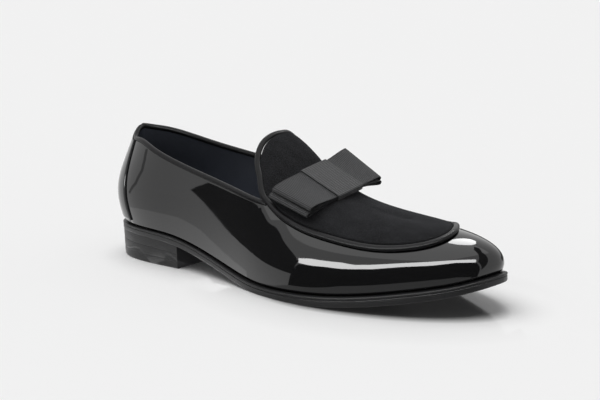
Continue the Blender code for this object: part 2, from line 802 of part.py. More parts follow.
def main():
    for old in list(bpy.data.objects):
        bpy.data.objects.remove(old, do_unlink=True)
    collection = bpy.data.collections.new("loafer")
    bpy.context.scene.collection.children.link(collection)
    materials = {name: make_material(name) for name in COLOURS}
    shells = [
        build_upper(materials["patent"], collection),
        build_plug(materials["suede"], collection),
        build_back_strip(materials["patent"], collection),
    ]
    solids = [
        build_outsole(materials["sole_edge"], collection),
        build_heel(materials["heel_stack"], collection),
        build_insole(materials["lining"], collection),
        build_piping(materials["binding"], collection),
        build_collar_binding(materials["binding"], collection),
    ]
    solids += build_bow(materials["ribbon"], collection)
    for part in solids:
        face_outwards(part)
    stand_at_origin(shells + solids, collection)


main()
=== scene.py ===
import math

import bmesh
import bpy
import numpy as np
from mathutils import Matrix, Vector


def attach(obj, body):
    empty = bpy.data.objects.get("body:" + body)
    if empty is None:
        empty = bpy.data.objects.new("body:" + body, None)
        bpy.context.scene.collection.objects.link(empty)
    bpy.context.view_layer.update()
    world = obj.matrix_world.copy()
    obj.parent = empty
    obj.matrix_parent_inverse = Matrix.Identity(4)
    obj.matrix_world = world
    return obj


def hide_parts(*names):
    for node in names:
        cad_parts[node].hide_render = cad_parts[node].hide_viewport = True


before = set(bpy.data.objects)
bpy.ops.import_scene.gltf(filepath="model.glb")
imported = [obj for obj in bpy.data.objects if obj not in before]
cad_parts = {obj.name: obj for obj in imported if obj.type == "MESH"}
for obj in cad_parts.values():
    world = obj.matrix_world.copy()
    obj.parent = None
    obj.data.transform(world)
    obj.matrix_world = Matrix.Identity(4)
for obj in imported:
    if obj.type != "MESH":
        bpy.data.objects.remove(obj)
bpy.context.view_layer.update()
scene = bpy.context.scene
scene.view_settings.view_transform = "Standard"
print("frame loaded:", len(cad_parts), "nodes")

# Where the drawing's origin (back of the heel, on the floor) lies in the frame, in millimetres.
standShift = np.array([-148.872, 2.36, 0.0])

# The last, station by station round the foot. Lengths are in millimetres.
lastTable = {
    "columns": (
        "x", "lateral", "medial", "seat", "tread", "spine", "ledge", "bulge", "low",
        "fullLateral", "fullMedial", "plugLateral", "plugMedial",
    ),
    "heelBack": (1.0, 0.0, 0.0, 23.4, 18.4, 23.0, 1.6, 4.9, 11.0, 2.24, 2.24, 20.0, 20.0),
    "heelCorner": (7.5, 17.0, 17.0, 23.5, 18.5, 29.5, 1.4, 4.5, 10.0, 1.95, 2.00, 20.0, 20.0),
    "heelSide": (32.0, 29.2, 28.8, 23.3, 18.2, 45.0, 1.0, 3.2, 6.0, 1.90, 2.00, 20.0, 20.0),
    "heelBreast": (64.0, 31.2, 28.5, 21.6, 16.3, 70.0, 1.0, 2.8, 4.0, 2.00, 2.10, 20.0, 20.0),
    "waist": (98.0, 34.3, 26.5, 15.0, 9.5, 102.0, 1.2, 2.9, 3.0, 2.00, 2.40, 24.0, 18.0),
    "shank": (126.0, 40.3, 28.6, 8.8, 3.2, 128.0, 1.5, 3.2, 3.0, 2.00, 2.80, 36.0, 19.0),
    "throat": (150.0, 46.9, 33.8, 5.8, -0.2, 150.0, 1.9, 3.1, 3.0, 2.00, 2.90, 39.3, 20.6),
    "joint": (176.0, 51.0, 41.3, 5.8, -0.5, 172.0, 2.3, 2.9, 3.0, 2.10, 2.50, 40.6, 31.0),
    "ball": (204.0, 50.0, 46.0, 7.2, 0.7, 195.5, 2.5, 2.7, 3.0, 2.25, 2.25, 39.3, 35.8),
    "forepart": (236.0, 43.1, 44.6, 11.0, 4.4, 216.5, 2.5, 2.5, 3.0, 2.50, 2.40, 38.7, 36.2),
    "toeSide": (264.0, 32.0, 36.5, 15.8, 9.2, 228.0, 2.5, 2.4, 3.0, 2.80, 2.80, 39.0, 35.2),
    "toeCorner": (287.0, 16.0, 24.5, 20.6, 14.4, 232.0, 2.5, 2.0, 3.0, 3.20, 3.20, 39.8, 33.8),
    "toeTip": (299.5, -6.0, 6.0, 24.6, 18.8, 233.0, 2.5, 1.9, 3.0, 3.30, 3.30, 36.2, 36.2),
    "spineLine": (
        (22.0, 0.0, 104.0), (70.0, 0.0, 97.0), (102.0, 2.0, 98.5), (120.0, 4.0, 97.0),
        (134.0, 5.0, 93.2), (150.0, 4.5, 81.6), (160.0, 3.0, 71.6), (170.0, 1.2, 65.8),
        (180.0, 0.0, 61.0), (193.0, -1.0, 56.6), (216.0, -1.0, 51.4), (233.0, 0.0, 48.5),
    ),
    "topLine": (
        (9.0, 91.4, 91.4), (13.0, 85.7, 90.0), (20.0, 84.0, 88.8), (40.0, 80.3, 84.6),
        (65.0, 73.9, 80.0), (95.0, 68.2, 75.5), (125.0, 63.2, 70.8), (155.0, 57.6, 66.3),
    ),
    "gap": 0.3,
    "tuckRadius": 2.5,
    "tuckReach": 7.0,
    "wall": 2.0,
    "collarTrim": 3.4,
    "plugInset": 2.8,
    "lookups": 1600,
}


def smoothCurve(knots, values, period=None):
    # cubic through the values, closed if a period is given and free at its ends if not
    knots, values = np.asarray(knots, float), np.asarray(values, float)
    count = len(knots)
    ends = knots if period is None else np.append(knots, knots[0] + period)
    rows = values if period is None else np.vstack([values, values[:1]])
    width = np.diff(ends)
    slope = np.diff(rows, axis=0) / width[:, None]
    matrix, right = np.eye(count), np.zeros_like(values)
    for i in range(1, count - 1) if period is None else range(count):
        matrix[i, i] = 2 * (width[i - 1] + width[i])
        matrix[i, i - 1] += width[i - 1]
        matrix[i, (i + 1) % count] += width[i]
        right[i] = 6 * (slope[i] - slope[i - 1])
    bend = np.linalg.solve(matrix, right)
    if period is not None:
        bend = np.vstack([bend, bend[:1]])

    def at(place):
        place = np.atleast_1d(np.asarray(place, float))
        if period is not None:
            place = (place - knots[0]) % period + knots[0]
        place = np.clip(place, ends[0], ends[-1])
        i = np.clip(np.searchsorted(ends, place, side="right") - 1, 0, len(width) - 1)
        step, span = (place - ends[i])[:, None], width[i][:, None]
        first = slope[i] - span * (2 * bend[i] + bend[i + 1]) / 6
        third = (bend[i + 1] - bend[i]) / (6 * span)
        return rows[i] + step * first + step ** 2 * bend[i] / 2 + step ** 3 * third

    return at


def unit(vectors):
    return vectors / np.linalg.norm(vectors, axis=-1, keepdims=True)


class ShoeLast:
    # a place on the last is a distance round the feather line and an angle up the section

    def __init__(self, table):
        names = [name for name in table if isinstance(table[name], tuple) and len(table[name]) == 13
                 and name != "columns"]
        rows = [dict(zip(table["columns"], table[name])) for name in names]
        lateral = [self.loopRow(row, "Lateral", -1) for row in rows]
        medial = [self.loopRow(row, "Medial", 1) for row in rows]
        chords = [
            (math.dist(a[:2], b[:2]) + math.dist(c[:2], d[:2])) / 2
            for a, b, c, d in zip(lateral, lateral[1:], medial, medial[1:])
        ]
        half = np.concatenate([[0.0], np.cumsum(chords)])
        self.toe, self.period = half[-1], 2 * half[-1]
        knots = np.concatenate([half, self.period - half[-2:0:-1]])
        self.loop = smoothCurve(knots, lateral + medial[-2:0:-1], self.period)
        spine, top = np.array(table["spineLine"]), np.array(table["topLine"])
        self.spineEnds = spine[0, 0], spine[-1, 0]
        self.spine = smoothCurve(spine[:, 0], spine[:, 1:])
        self.topLine = smoothCurve(top[:, 0], top[:, 1:])
        self.throat = dict(zip(names, half))["throat"]
        self.throatSpine = dict(zip(names, rows))["throat"]["spine"]
        self.lift = table["gap"] + table["tuckRadius"]

    @staticmethod
    def loopRow(row, side, sign):
        # columns from here on: x, y, seat, tread, spine, ledge, bulge, low, full, plug
        names = ("seat", "tread", "spine", "ledge", "bulge", "low", "full" + side, "plug" + side)
        return (row["x"], sign * row[side.lower()], *(row[name] for name in names))

    def foot(self, loop):
        row = self.loop(loop)
        return np.column_stack([row[:, :2], row[:, 2] + self.lift])

    def crest(self, loop):
        along = np.clip(self.loop(loop)[:, 4], *self.spineEnds)
        return np.column_stack([along, self.spine(along)])

    def point(self, loop, angle):
        loop, angle = np.broadcast_arrays(np.asarray(loop, float), np.asarray(angle, float))
        shape = loop.shape
        loop, angle = loop.ravel(), angle.ravel()
        row, foot, crest = self.loop(loop), self.foot(loop), self.crest(loop)
        across = (foot - crest)[:, :2]
        reach = np.linalg.norm(across, axis=1)
        flat, rise = np.clip(np.cos(angle), 0.0, 1.0), np.sin(angle)
        bulge, low, full = row[:, 6], row[:, 7], row[:, 8]
        most = (low / (low + 1)) ** (low / 2) / np.sqrt(low + 1)
        out = reach * flat ** (2 / full) + bulge * rise * flat ** low / most
        height = foot[:, 2] + (crest[:, 2] - foot[:, 2]) * rise
        level = crest[:, :2] + across / reach[:, None] * out[:, None]
        return np.column_stack([level, height]).reshape(shape + (3,))

    def normal(self, loop, angle):
        loop, angle = np.broadcast_arrays(np.asarray(loop, float), np.asarray(angle, float))
        angle = np.minimum(angle, math.radians(86))
        along = self.point(loop + 0.2, angle) - self.point(loop - 0.2, angle)
        up = self.point(loop, angle + 0.002) - self.point(loop, angle - 0.002)
        return unit(np.cross(along, up))

    def angleAtReach(self, loop, reach):
        low, high = np.zeros(len(loop)), np.full(len(loop), math.pi / 2)
        crest = self.crest(loop)
        for _ in range(40):
            middle = (low + high) / 2
            out = np.linalg.norm((self.point(loop, middle) - crest)[:, :2], axis=1)
            low, high = np.where(out > reach, middle, low), np.where(out > reach, high, middle)
        return (low + high) / 2

    def angleAtTopLine(self, loop):
        foot, crest = self.foot(loop), self.crest(loop)
        side = (np.asarray(loop) % self.period > self.toe).astype(int)
        angle = np.full(len(loop), 0.8)
        for _ in range(14):
            height = self.topLine(self.point(loop, angle)[:, 0])[np.arange(len(loop)), side]
            angle = np.arcsin(np.clip((height - foot[:, 2]) / (crest[:, 2] - foot[:, 2]), 0.0, 1.0))
        return angle

    def angleMoved(self, loop, angle, distance):
        speed = np.linalg.norm(self.point(loop, angle + 0.002) - self.point(loop, angle - 0.002), axis=1)
        return angle + distance * 0.004 / speed

    def loopOfSpine(self, along):
        places = np.linspace(0.0, self.toe, lastTable["lookups"])
        return np.interp(along, self.crest(places)[:, 0], places)

    def pipingAngle(self, loop):
        return self.angleAtReach(loop, self.loop(loop)[:, 9])

    def outline(self, loop, offset):
        # feather line in plan, moved outwards square to itself
        ahead = unit(self.loop(loop + 0.5)[:, :2] - self.loop(loop - 0.5)[:, :2])
        square = np.column_stack([ahead[:, 1], -ahead[:, 0]])
        return self.loop(loop)[:, :2] + square * np.reshape(offset, (-1, 1))

    @staticmethod
    def places(first, end, step):
        return np.linspace(first, end, max(2, int(round(abs(end - first) / step)) + 1))


last = ShoeLast(lastTable)
gap, wall = lastTable["gap"], lastTable["wall"]


# One output socket of a material. Sums on it are written as Python and become Math nodes.
class Wire:
    def __init__(self, tree, socket):
        self.tree, self.socket = tree, socket

    def sum(self, operation, *terms):
        node = self.tree.nodes.new("ShaderNodeMath")
        node.operation = operation
        for slot, term in zip(node.inputs, terms):
            feed(self.tree, slot, term)
        return Wire(self.tree, node.outputs[0])

    def __add__(self, other):
        return self.sum("ADD", self, other)

    def __sub__(self, other):
        return self.sum("SUBTRACT", self, other)

    def __rsub__(self, other):
        return self.sum("SUBTRACT", other, self)

    def __mul__(self, other):
        return self.sum("MULTIPLY", self, other)

    def __truediv__(self, other):
        return self.sum("DIVIDE", self, other)

    def __rtruediv__(self, other):
        return self.sum("DIVIDE", other, self)

    def __pow__(self, other):
        return self.sum("POWER", self, other)

    __radd__ = __add__
    __rmul__ = __mul__

    def sine(self):
        return self.sum("SINE", self)

    def size(self):
        return self.sum("ABSOLUTE", self)

    def clip(self):
        return self.sum("MINIMUM", self.sum("MAXIMUM", self, 0.0), 1.0)


def feed(tree, slot, value):
    if isinstance(value, Wire):
        tree.links.new(value.socket, slot)
    elif isinstance(value, tuple) and len(value) == 3 and len(slot.default_value) == 4:
        slot.default_value = (*value, 1.0)
    else:
        slot.default_value = value


# A named material. Any node that isn't a plain sum comes from node().
class Finish:
    def __init__(self, name):
        self.material = bpy.data.materials.new(name)
        self.material.use_nodes = True
        self.tree = self.material.node_tree
        self.shader = self.tree.nodes["Principled BSDF"]

    def node(self, kind, settings, values, out=0):
        node = self.tree.nodes.new("ShaderNode" + kind)
        for name, value in settings.items():
            if name == "stops":
                while len(node.color_ramp.elements) < len(value):
                    node.color_ramp.elements.new(1.0)
                for stop, (place, level) in zip(node.color_ramp.elements, value):
                    stop.position, stop.color = place, (level, level, level, 1.0)
            else:
                setattr(node, name, value)
        for slot, value in values.items():
            feed(self.tree, node.inputs[slot], value)
        return Wire(self.tree, node.outputs[out])

    def place(self):
        return self.node("TexCoord", {}, {}, out=3)

    def cut(self):
        # distances along and across the piece, in millimetres
        spot = self.node("UVMap", {"uv_map": "cut"}, {})
        return tuple(self.node("SeparateXYZ", {}, {0: spot}, out=k) for k in (0, 1))

    def noise(self, scale, detail=3.0, rough=0.55, where=None):
        values = {"Vector": where or self.place(), "Scale": scale, "Detail": detail, "Roughness": rough}
        return self.node("TexNoise", {}, values)

    def stretched(self, along, across, up):
        factor = (along, across, up)
        return self.node("VectorMath", {"operation": "MULTIPLY"}, {0: self.place(), 1: factor})

    def ramp(self, wire, *stops):
        return self.node("ValToRGB", {"stops": stops}, {0: wire})

    def blend(self, mask, first, second):
        values = {0: mask, 6: first, 7: second}
        return self.node("Mix", {"data_type": "RGBA"}, values, out=2)

    def bump(self, height, distance):
        return self.node("Bump", {}, {"Height": height, "Distance": distance, "Strength": 1.0})

    def shade(self, values):
        for slot, value in values.items():
            feed(self.tree, self.shader.inputs[slot], value)
        return self.material


def addPiece(name, points, faces, finishes, nodes=(), cuts=None, weld=False, turn=True):
    mesh = bpy.data.meshes.new(name)
    mesh.from_pydata(((np.asarray(points) + standShift) * 0.001).tolist(), [], faces)
    if cuts is not None:
        layer = mesh.uv_layers.new(name="cut")
        layer.data.foreach_set("uv", np.asarray(cuts, float).ravel())
    work = bmesh.new()
    work.from_mesh(mesh)
    if weld:
        bmesh.ops.remove_doubles(work, verts=work.verts, dist=2e-6)
        bmesh.ops.dissolve_degenerate(work, edges=work.edges, dist=1e-7)
    if turn:
        bmesh.ops.recalc_face_normals(work, faces=work.faces)
        if work.calc_volume(signed=True) < 0:
            bmesh.ops.reverse_faces(work, faces=work.faces)
    work.to_mesh(mesh)
    work.free()
    mesh.shade_smooth()
    piece = bpy.data.objects.new(name, mesh)
    scene.collection.objects.link(piece)
    for finish in finishes:
        mesh.materials.append(finish)
    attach(piece, "root")
    if nodes:
        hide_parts(*nodes)
    return piece


def gridParts(grid, closedLong=False, closedCross=False, long=None, cross=None, start=0):
    # faces and corner places of a grid of points, column by column
    columns, rows = grid.shape[:2]
    faces, cuts = [], []
    for i in range(columns if closedLong else columns - 1):
        for j in range(rows if closedCross else rows - 1):
            after, above = (i + 1) % columns, (j + 1) % rows
            faces.append(tuple(start + k for k in (
                i * rows + j, after * rows + j, after * rows + above, i * rows + above)))
            if long is not None:
                cuts += [(long[i], cross[j]), (long[i + 1], cross[j]),
                         (long[i + 1], cross[j + 1]), (long[i], cross[j + 1])]
    return faces, cuts


def runLength(path, closed=False):
    steps = np.linalg.norm(np.diff(path, axis=0), axis=1)
    length = np.concatenate([[0.0], np.cumsum(steps)])
    if closed:
        length = np.append(length, length[-1] + np.linalg.norm(path[0] - path[-1]))
    return length


def addTube(name, rings, finish, nodes, closed=True, caps=False):
    # skin through rings of points, with its run and girth as cut places
    rings = np.asarray(rings)
    long = runLength(rings.mean(axis=1), closed)
    cross = runLength(rings[len(rings) // 2], True)
    faces, cuts = gridParts(rings, closed, True, long, cross)
    if caps:
        count, size = rings.shape[:2]
        faces.append(tuple(reversed(range(size))))
        faces.append(tuple((count - 1) * size + j for j in range(size)))
        cuts += [(0.0, 0.0)] * (2 * size)
    return addPiece(name, rings.reshape(-1, 3), faces, [finish], nodes, cuts)


def addThickness(piece, thickness, rim=1):
    wallUp = piece.modifiers.new("thickness", "SOLIDIFY")
    wallUp.thickness = thickness * 0.001
    wallUp.offset = -1.0
    wallUp.use_quality_normals = True
    wallUp.material_offset = 1
    wallUp.material_offset_rim = rim


# Finishes. A noise is given by its scale, detail and roughness. Bump heights are in metres.
patentLook = {
    "colour": (0.0045, 0.0045, 0.005), "rough": 0.045, "ior": 1.5,
    "hazeNoise": (46.0, 4.0, 0.6), "haze": 0.03,
    "peelNoise": (150.0, 1.5, 0.4), "peel": 0.000006,
    "dustNoise": (700.0, 2.0, 0.5), "dustColour": (0.012, 0.012, 0.013), "dust": 0.25, "dustRough": 0.05,
}


def makePatent():
    look, finish = patentLook, Finish("blackPatent")
    haze = finish.ramp(finish.noise(*look["hazeNoise"]), (0.45, 0.0), (0.75, 1.0))  # wipe marks in the lacquer
    dust = finish.ramp(finish.noise(*look["dustNoise"]), (0.70, 0.0), (0.78, 1.0))
    colour = finish.blend(dust * look["dust"], look["colour"], look["dustColour"])
    rough = look["rough"] + look["haze"] * haze
    peel = finish.bump(finish.noise(*look["peelNoise"]), look["peel"])
    return finish.shade({"Base Color": colour, "Roughness": rough + dust * look["dustRough"],
                         "Normal": peel, "IOR": look["ior"]})


# Brushed marks and fibres are noises stretched along, across and up the shoe.
suedeLook = {
    "colour": (0.0045, 0.0046, 0.005), "worn": (0.027, 0.0275, 0.030), "rough": 0.97, "napRough": 0.1,
    "napNoise": (1500.0, 4.0, 0.75), "napTone": 0.6, "nap": 0.0002,
    "brushed": (55.0, 110.0, 80.0), "brushedTone": 0.3,
    "fibre": (1500.0, 3800.0, 2600.0), "fibreShare": 0.4,
    "specular": 0.04, "sheen": 0.03, "sheenRough": 0.55, "sheenTint": (0.8, 0.82, 0.9),
}


def makeSuede():
    look, finish = suedeLook, Finish("blackSuede")
    nap = finish.noise(*look["napNoise"])
    brushed = finish.noise(1.0, 4.0, 0.6, finish.stretched(*look["brushed"]))
    fibre = finish.noise(1.0, 2.0, 0.6, finish.stretched(*look["fibre"]))
    grain = finish.ramp(nap, (0.42, 0.0), (0.60, 1.0))
    brushed = finish.ramp(brushed, (0.35, 0.0), (0.72, 1.0))
    tone = (grain * look["napTone"] + brushed * look["brushedTone"]).clip()
    pile = nap * (1 - look["fibreShare"]) + fibre * look["fibreShare"]
    return finish.shade({
        "Base Color": finish.blend(tone, look["colour"], look["worn"]),
        "Roughness": look["rough"] - nap * look["napRough"], "Specular IOR Level": look["specular"],
        "Sheen Weight": look["sheen"], "Sheen Roughness": look["sheenRough"], "Sheen Tint": look["sheenTint"],
        "Normal": finish.bump(pile, look["nap"]),
    })


pipingLook = {
    "colour": (0.006, 0.006, 0.0065), "worn": (0.014, 0.014, 0.015), "rough": 0.34, "uneven": 0.16,
    "specular": 0.14, "grainNoise": (1500.0, 3.0, 0.6), "grain": 0.00003, "wearNoise": (90.0, 3.0, 0.6),
}


def makePiping():
    look, finish = pipingLook, Finish("pipingLeather")
    grain = finish.noise(*look["grainNoise"])
    wear = finish.noise(*look["wearNoise"])
    return finish.shade({"Base Color": finish.blend(wear * grain, look["colour"], look["worn"]),
                         "Roughness": look["rough"] + (grain - 0.5) * look["uneven"],
                         "Specular IOR Level": look["specular"],
                         "Normal": finish.bump(grain, look["grain"])})


# Rib and thread spacing, and where the woven edge begins from the middle line, are in millimetres.
ribbonLook = {
    # The band's colour is lighter than the loops': painted light on the band, which faces up.
    "loops": (0.046, 0.0465, 0.048), "band": (0.068, 0.0685, 0.070), "valleyShade": 0.35, "crown": 1.65,
    "rib": 1.25, "ribTone": 0.7, "ribRough": 0.14, "ribHeight": 0.00022, "ribRound": 0.6,
    "thread": 0.42, "threadTone": 0.1, "threadHeight": 0.15,
    "unevenNoise": (420.0, 3.0, 0.6), "unevenTone": 0.2,
    "edgeFrom": 15.0, "edge": 1.1, "edgeTone": 0.4, "rough": 0.66, "specular": 0.10,
}


def makeRibbon(name, colour):
    look, finish = ribbonLook, Finish(name)
    along, across = finish.cut()
    rib = (along * (2 * math.pi / look["rib"])).sine() * 0.5 + 0.5
    thread = (across * (2 * math.pi / look["thread"])).sine() * 0.5 + 0.5
    selvage = finish.ramp((across.size() - look["edgeFrom"]) / look["edge"], (0.0, 0.0), (0.25, 1.0))
    uneven = finish.noise(*look["unevenNoise"])
    # The weave's colour runs from painted shade in the rib valleys to a painted highlight on their crowns.
    tone = (rib * look["ribTone"] + thread * look["threadTone"] + uneven * look["unevenTone"]).clip()
    valleyShadeColour, light = (tuple(c * look[key] for c in colour) for key in ("valleyShade", "crown"))
    weave = finish.blend(tone, valleyShadeColour, light)
    height = rib ** look["ribRound"] + thread * look["threadHeight"]
    return finish.shade({"Base Color": finish.blend(selvage * look["edgeTone"], weave, valleyShadeColour),
                         "Roughness": look["rough"] - rib * look["ribRough"],
                         "Specular IOR Level": look["specular"],
                         "Normal": finish.bump(height, look["ribHeight"])})


# Fine wavering lines, in millimetres apart, and scuffs stretched along the edge.
soleLook = {
    "dark": (0.007, 0.007, 0.0075), "light": (0.020, 0.020, 0.021),
    "rough": 0.42, "uneven": 0.3, "specular": 0.25,
    "line": 0.9, "lineTone": 0.3, "lineHeight": 0.5, "waver": 3.0, "waverScale": 60.0,
    "scuff": (120.0, 120.0, 900.0), "scuffTone": 0.7, "height": 0.00006,
}
heelLook = {
    "dark": (0.012, 0.012, 0.0125), "light": (0.034, 0.034, 0.035),
    "rough": 0.46, "uneven": 0.3, "specular": 0.15,
    "line": 1.15, "lineTone": 0.3, "lineHeight": 0.4, "waver": 2.0, "waverScale": 40.0,
    "scuff": (100.0, 100.0, 1100.0), "scuffTone": 0.75, "height": 0.00007,
}


def makeSole(name, look):
    finish = Finish(name)
    across = finish.cut()[1]
    waver = finish.noise(look["waverScale"], 2.0) * look["waver"]
    lines = (across * (2 * math.pi / look["line"]) + waver).sine() * 0.5 + 0.5
    scuff = finish.noise(1.0, 4.0, 0.65, finish.stretched(*look["scuff"]))
    tone = (scuff * look["scuffTone"] + lines * look["lineTone"]).clip()
    return finish.shade({"Base Color": finish.blend(tone, look["dark"], look["light"]),
                         "Roughness": look["rough"] + (scuff - 0.5) * look["uneven"],
                         "Specular IOR Level": look["specular"],
                         "Normal": finish.bump(lines * look["lineHeight"] + scuff, look["height"])})


liningLook = {
    "dark": (0.050, 0.057, 0.076), "light": (0.085, 0.097, 0.126),
    "rough": 0.5, "uneven": 0.2, "specular": 0.32,
    "cloudNoise": (35.0, 4.0, 0.6), "grainScale": 900.0, "grain": 0.00003,
}


def makeLining():
    look, finish = liningLook, Finish("liningLeather")
    grain = finish.node("TexVoronoi", {}, {"Vector": finish.place(), "Scale": look["grainScale"]})
    cloud = finish.noise(*look["cloudNoise"])
    return finish.shade({"Base Color": finish.blend(cloud, look["dark"], look["light"]),
                         "Roughness": look["rough"] + (cloud - 0.5) * look["uneven"],
                         "Specular IOR Level": look["specular"],
                         "Normal": finish.bump(grain, look["grain"])})


threadLook = {"dark": (0.008, 0.008, 0.0085), "light": (0.02, 0.02, 0.021), "rough": 0.7, "specular": 0.08,
              "noise": (3000.0, 1.0, 0.5), "height": 0.00005}
# Inked edges. The same dark finish is painted shade on the heel's breast and, with the ink, in the back strip's
# seams.
edgeInkAndShadeLook = {"dark": (0.005, 0.005, 0.0055), "light": (0.010, 0.010, 0.011), "rough": 0.75, "specular": 0.1,
            "noise": (1800.0, 3.0, 0.6), "height": 0.00003}


def makeMatte(name, look):
    finish = Finish(name)
    grain = finish.noise(*look["noise"])
    return finish.shade({"Base Color": finish.blend(grain, look["dark"], look["light"]),
                         "Roughness": look["rough"], "Specular IOR Level": look["specular"],
                         "Normal": finish.bump(grain, look["height"])})


patent, suede, piping, lining = makePatent(), makeSuede(), makePiping(), makeLining()
ribbon = makeRibbon("grosgrainLoops", ribbonLook["loops"])
bandRibbonPaintedLight = makeRibbon("grosgrainBandPaintedLight", ribbonLook["band"])
soleEdge, heelStack = makeSole("soleEdge", soleLook), makeSole("heelLifts", heelLook)
thread, edgeInkAndShade = makeMatte("blackThread", threadLook), makeMatte("inkedEdgeAndPaintedShade", edgeInkAndShadeLook)
print("finishes made")


# Patent upper: one wall from the lasting margin to the top line and on under the plug.
# Dents are soft hollows and swells of the lacquered hide: distance round, share up, widths, depth.
upperShape = {
    "step": 1.6,
    "rows": 46,
    "coverRows": 10,
    "intoBinding": 0.4,
    "dents": (
        (128.0, 0.72, 16.0, 0.22, -0.06),
        (196.0, 0.75, 14.0, 0.20, -0.12),
        (520.0, 0.72, 15.0, 0.22, -0.16),
        (470.0, 0.70, 14.0, 0.22, 0.12),
    ),
}


def isForward(loop):
    return (loop >= last.throat - 1e-6) & (loop <= last.period - last.throat + 1e-6)


def wallTop(loop):
    plugEdge = last.angleMoved(loop, last.pipingAngle(loop), lastTable["plugInset"])
    trim = lastTable["collarTrim"] - upperShape["intoBinding"]
    collar = last.angleMoved(loop, last.angleAtTopLine(loop), -trim)
    return np.where(isForward(loop), plugEdge, collar)


def dentDepth(loop, share):
    depth = np.zeros(np.broadcast(loop, share).shape)
    for place, up, wide, tall, amount in upperShape["dents"]:
        depth += amount * np.exp(-((loop - place) / wide) ** 2 - ((share - up) / tall) ** 2)
    return depth


def columnsAround(step):
    front = last.places(0.0, last.throat, step)
    fore = last.places(last.throat, last.toe, step)
    half = np.concatenate([front[:-1], fore])
    return np.concatenate([half, last.period - half[-2:0:-1]])


def addUpper():
    loop = columnsAround(upperShape["step"])
    height = last.foot(loop)[:, 2]
    tuck = []
    for turn in (None, 90, 75, 60, 45, 30, 15):  # the margin's inner edge, then its round up to the wall
        bend = math.radians(90 if turn is None else turn)
        inward = lastTable["tuckReach"] if turn is None else lastTable["tuckRadius"] * (1 - math.cos(bend))
        level = last.outline(loop, np.full(len(loop), -inward))
        tuck.append(np.column_stack([level, height - lastTable["tuckRadius"] * math.sin(bend)]))
    share = np.linspace(0.0, 1.0, upperShape["rows"] + 1)
    angle = wallTop(loop)[:, None] * share
    skin = last.point(loop[:, None], angle)
    depth = dentDepth(loop[:, None], share) * np.sin(np.pi * share)
    skin = skin + last.normal(loop[:, None], angle) * depth[..., None]
    band = np.concatenate([np.stack(tuck, axis=1), skin], axis=1)
    faces, _ = gridParts(band, closedLong=True)
    fore = loop[isForward(loop)]
    begin = wallTop(fore)[:, None]
    coverShare = np.linspace(0.0, 1.0, upperShape["coverRows"] + 1)
    cover = last.point(fore[:, None], begin + (math.pi / 2 - begin) * coverShare)
    faces += gridParts(cover, start=band.shape[0] * band.shape[1])[0]
    points = np.concatenate([band.reshape(-1, 3), cover.reshape(-1, 3)])
    piece = addPiece("patentUpper", points, faces, [patent, lining], ["upper"],
                     weld=True, turn=False)
    addThickness(piece, wall)


# Suede plug and tongue, with the leather piping round them. The tongue's round edge is in shares of
# its length and of the reach at the throat: spine, lateral back, lateral out, medial out.
plugShape = {
    "suede": 1.5, "rows": 30, "step": 1.6, "inset": 2.2, "crown": 0.5, "levelFrom": 0.55,
    "tongueLength": 17.5, "tongueSteps": 34,
    "tongueEdge": (
        (0.0, 0.0, 1.0, 1.0), (0.20, 0.20, 0.950, 0.98), (0.42, 0.42, 0.860, 0.93),
        (0.63, 0.63, 0.785, 0.85), (0.79, 0.82, 0.700, 0.73), (0.90, 1.00, 0.560, 0.57),
        (0.95, 1.08, 0.420, 0.41), (0.975, 1.07, 0.260, 0.25), (0.985, 1.02, 0.100, 0.10),
        (0.99, 0.99, 0.0, 0.0),
    ),
}


def throatReach(angle):
    throat = np.array([last.throat, last.period - last.throat])
    return np.linalg.norm((last.point(throat, angle) - last.crest(throat))[:, :2], axis=1)


def tongueEdge(inset):
    # places on the tongue's edge, their angles, and the spine places their columns run to:
    # lateral from the tongue's end to the throat, then medial from the throat to its end
    table = np.array(plugShape["tongueEdge"])
    knots = runLength(table * (1.0, 1.0, 2.0, 1.0))
    share = smoothCurve(knots, table)(np.linspace(0.0, knots[-1], plugShape["tongueSteps"] + 1)[1:-1])
    throat = np.array([last.throat, last.period - last.throat])
    reach = throatReach(last.angleMoved(throat, last.pipingAngle(throat), inset))
    length = plugShape["tongueLength"] - inset
    crest = last.loopOfSpine(last.throatSpine - length * share[:, 0])
    lateral = last.loopOfSpine(last.throatSpine - length * share[:, 1])
    medial = last.period - crest
    lateralAngle = last.angleAtReach(lateral, reach[0] * share[:, 2])
    medialAngle = last.angleAtReach(medial, reach[1] * share[:, 3])
    return (lateral[::-1], lateralAngle[::-1], crest[::-1]), (medial, medialAngle, medial)


def plugEdge(inset):
    # the whole edge of plug and tongue, moved in from the middle of the piping
    fore = foreColumns(plugShape["step"])
    edge = last.angleMoved(fore, last.pipingAngle(fore), inset)
    lateral, medial = tongueEdge(inset)
    return (np.concatenate(rows) for rows in zip(lateral, (fore, edge, fore), medial))


def foreColumns(step):
    half = last.places(last.throat, last.toe, step)
    return np.concatenate([half, last.period - half[-2::-1]])


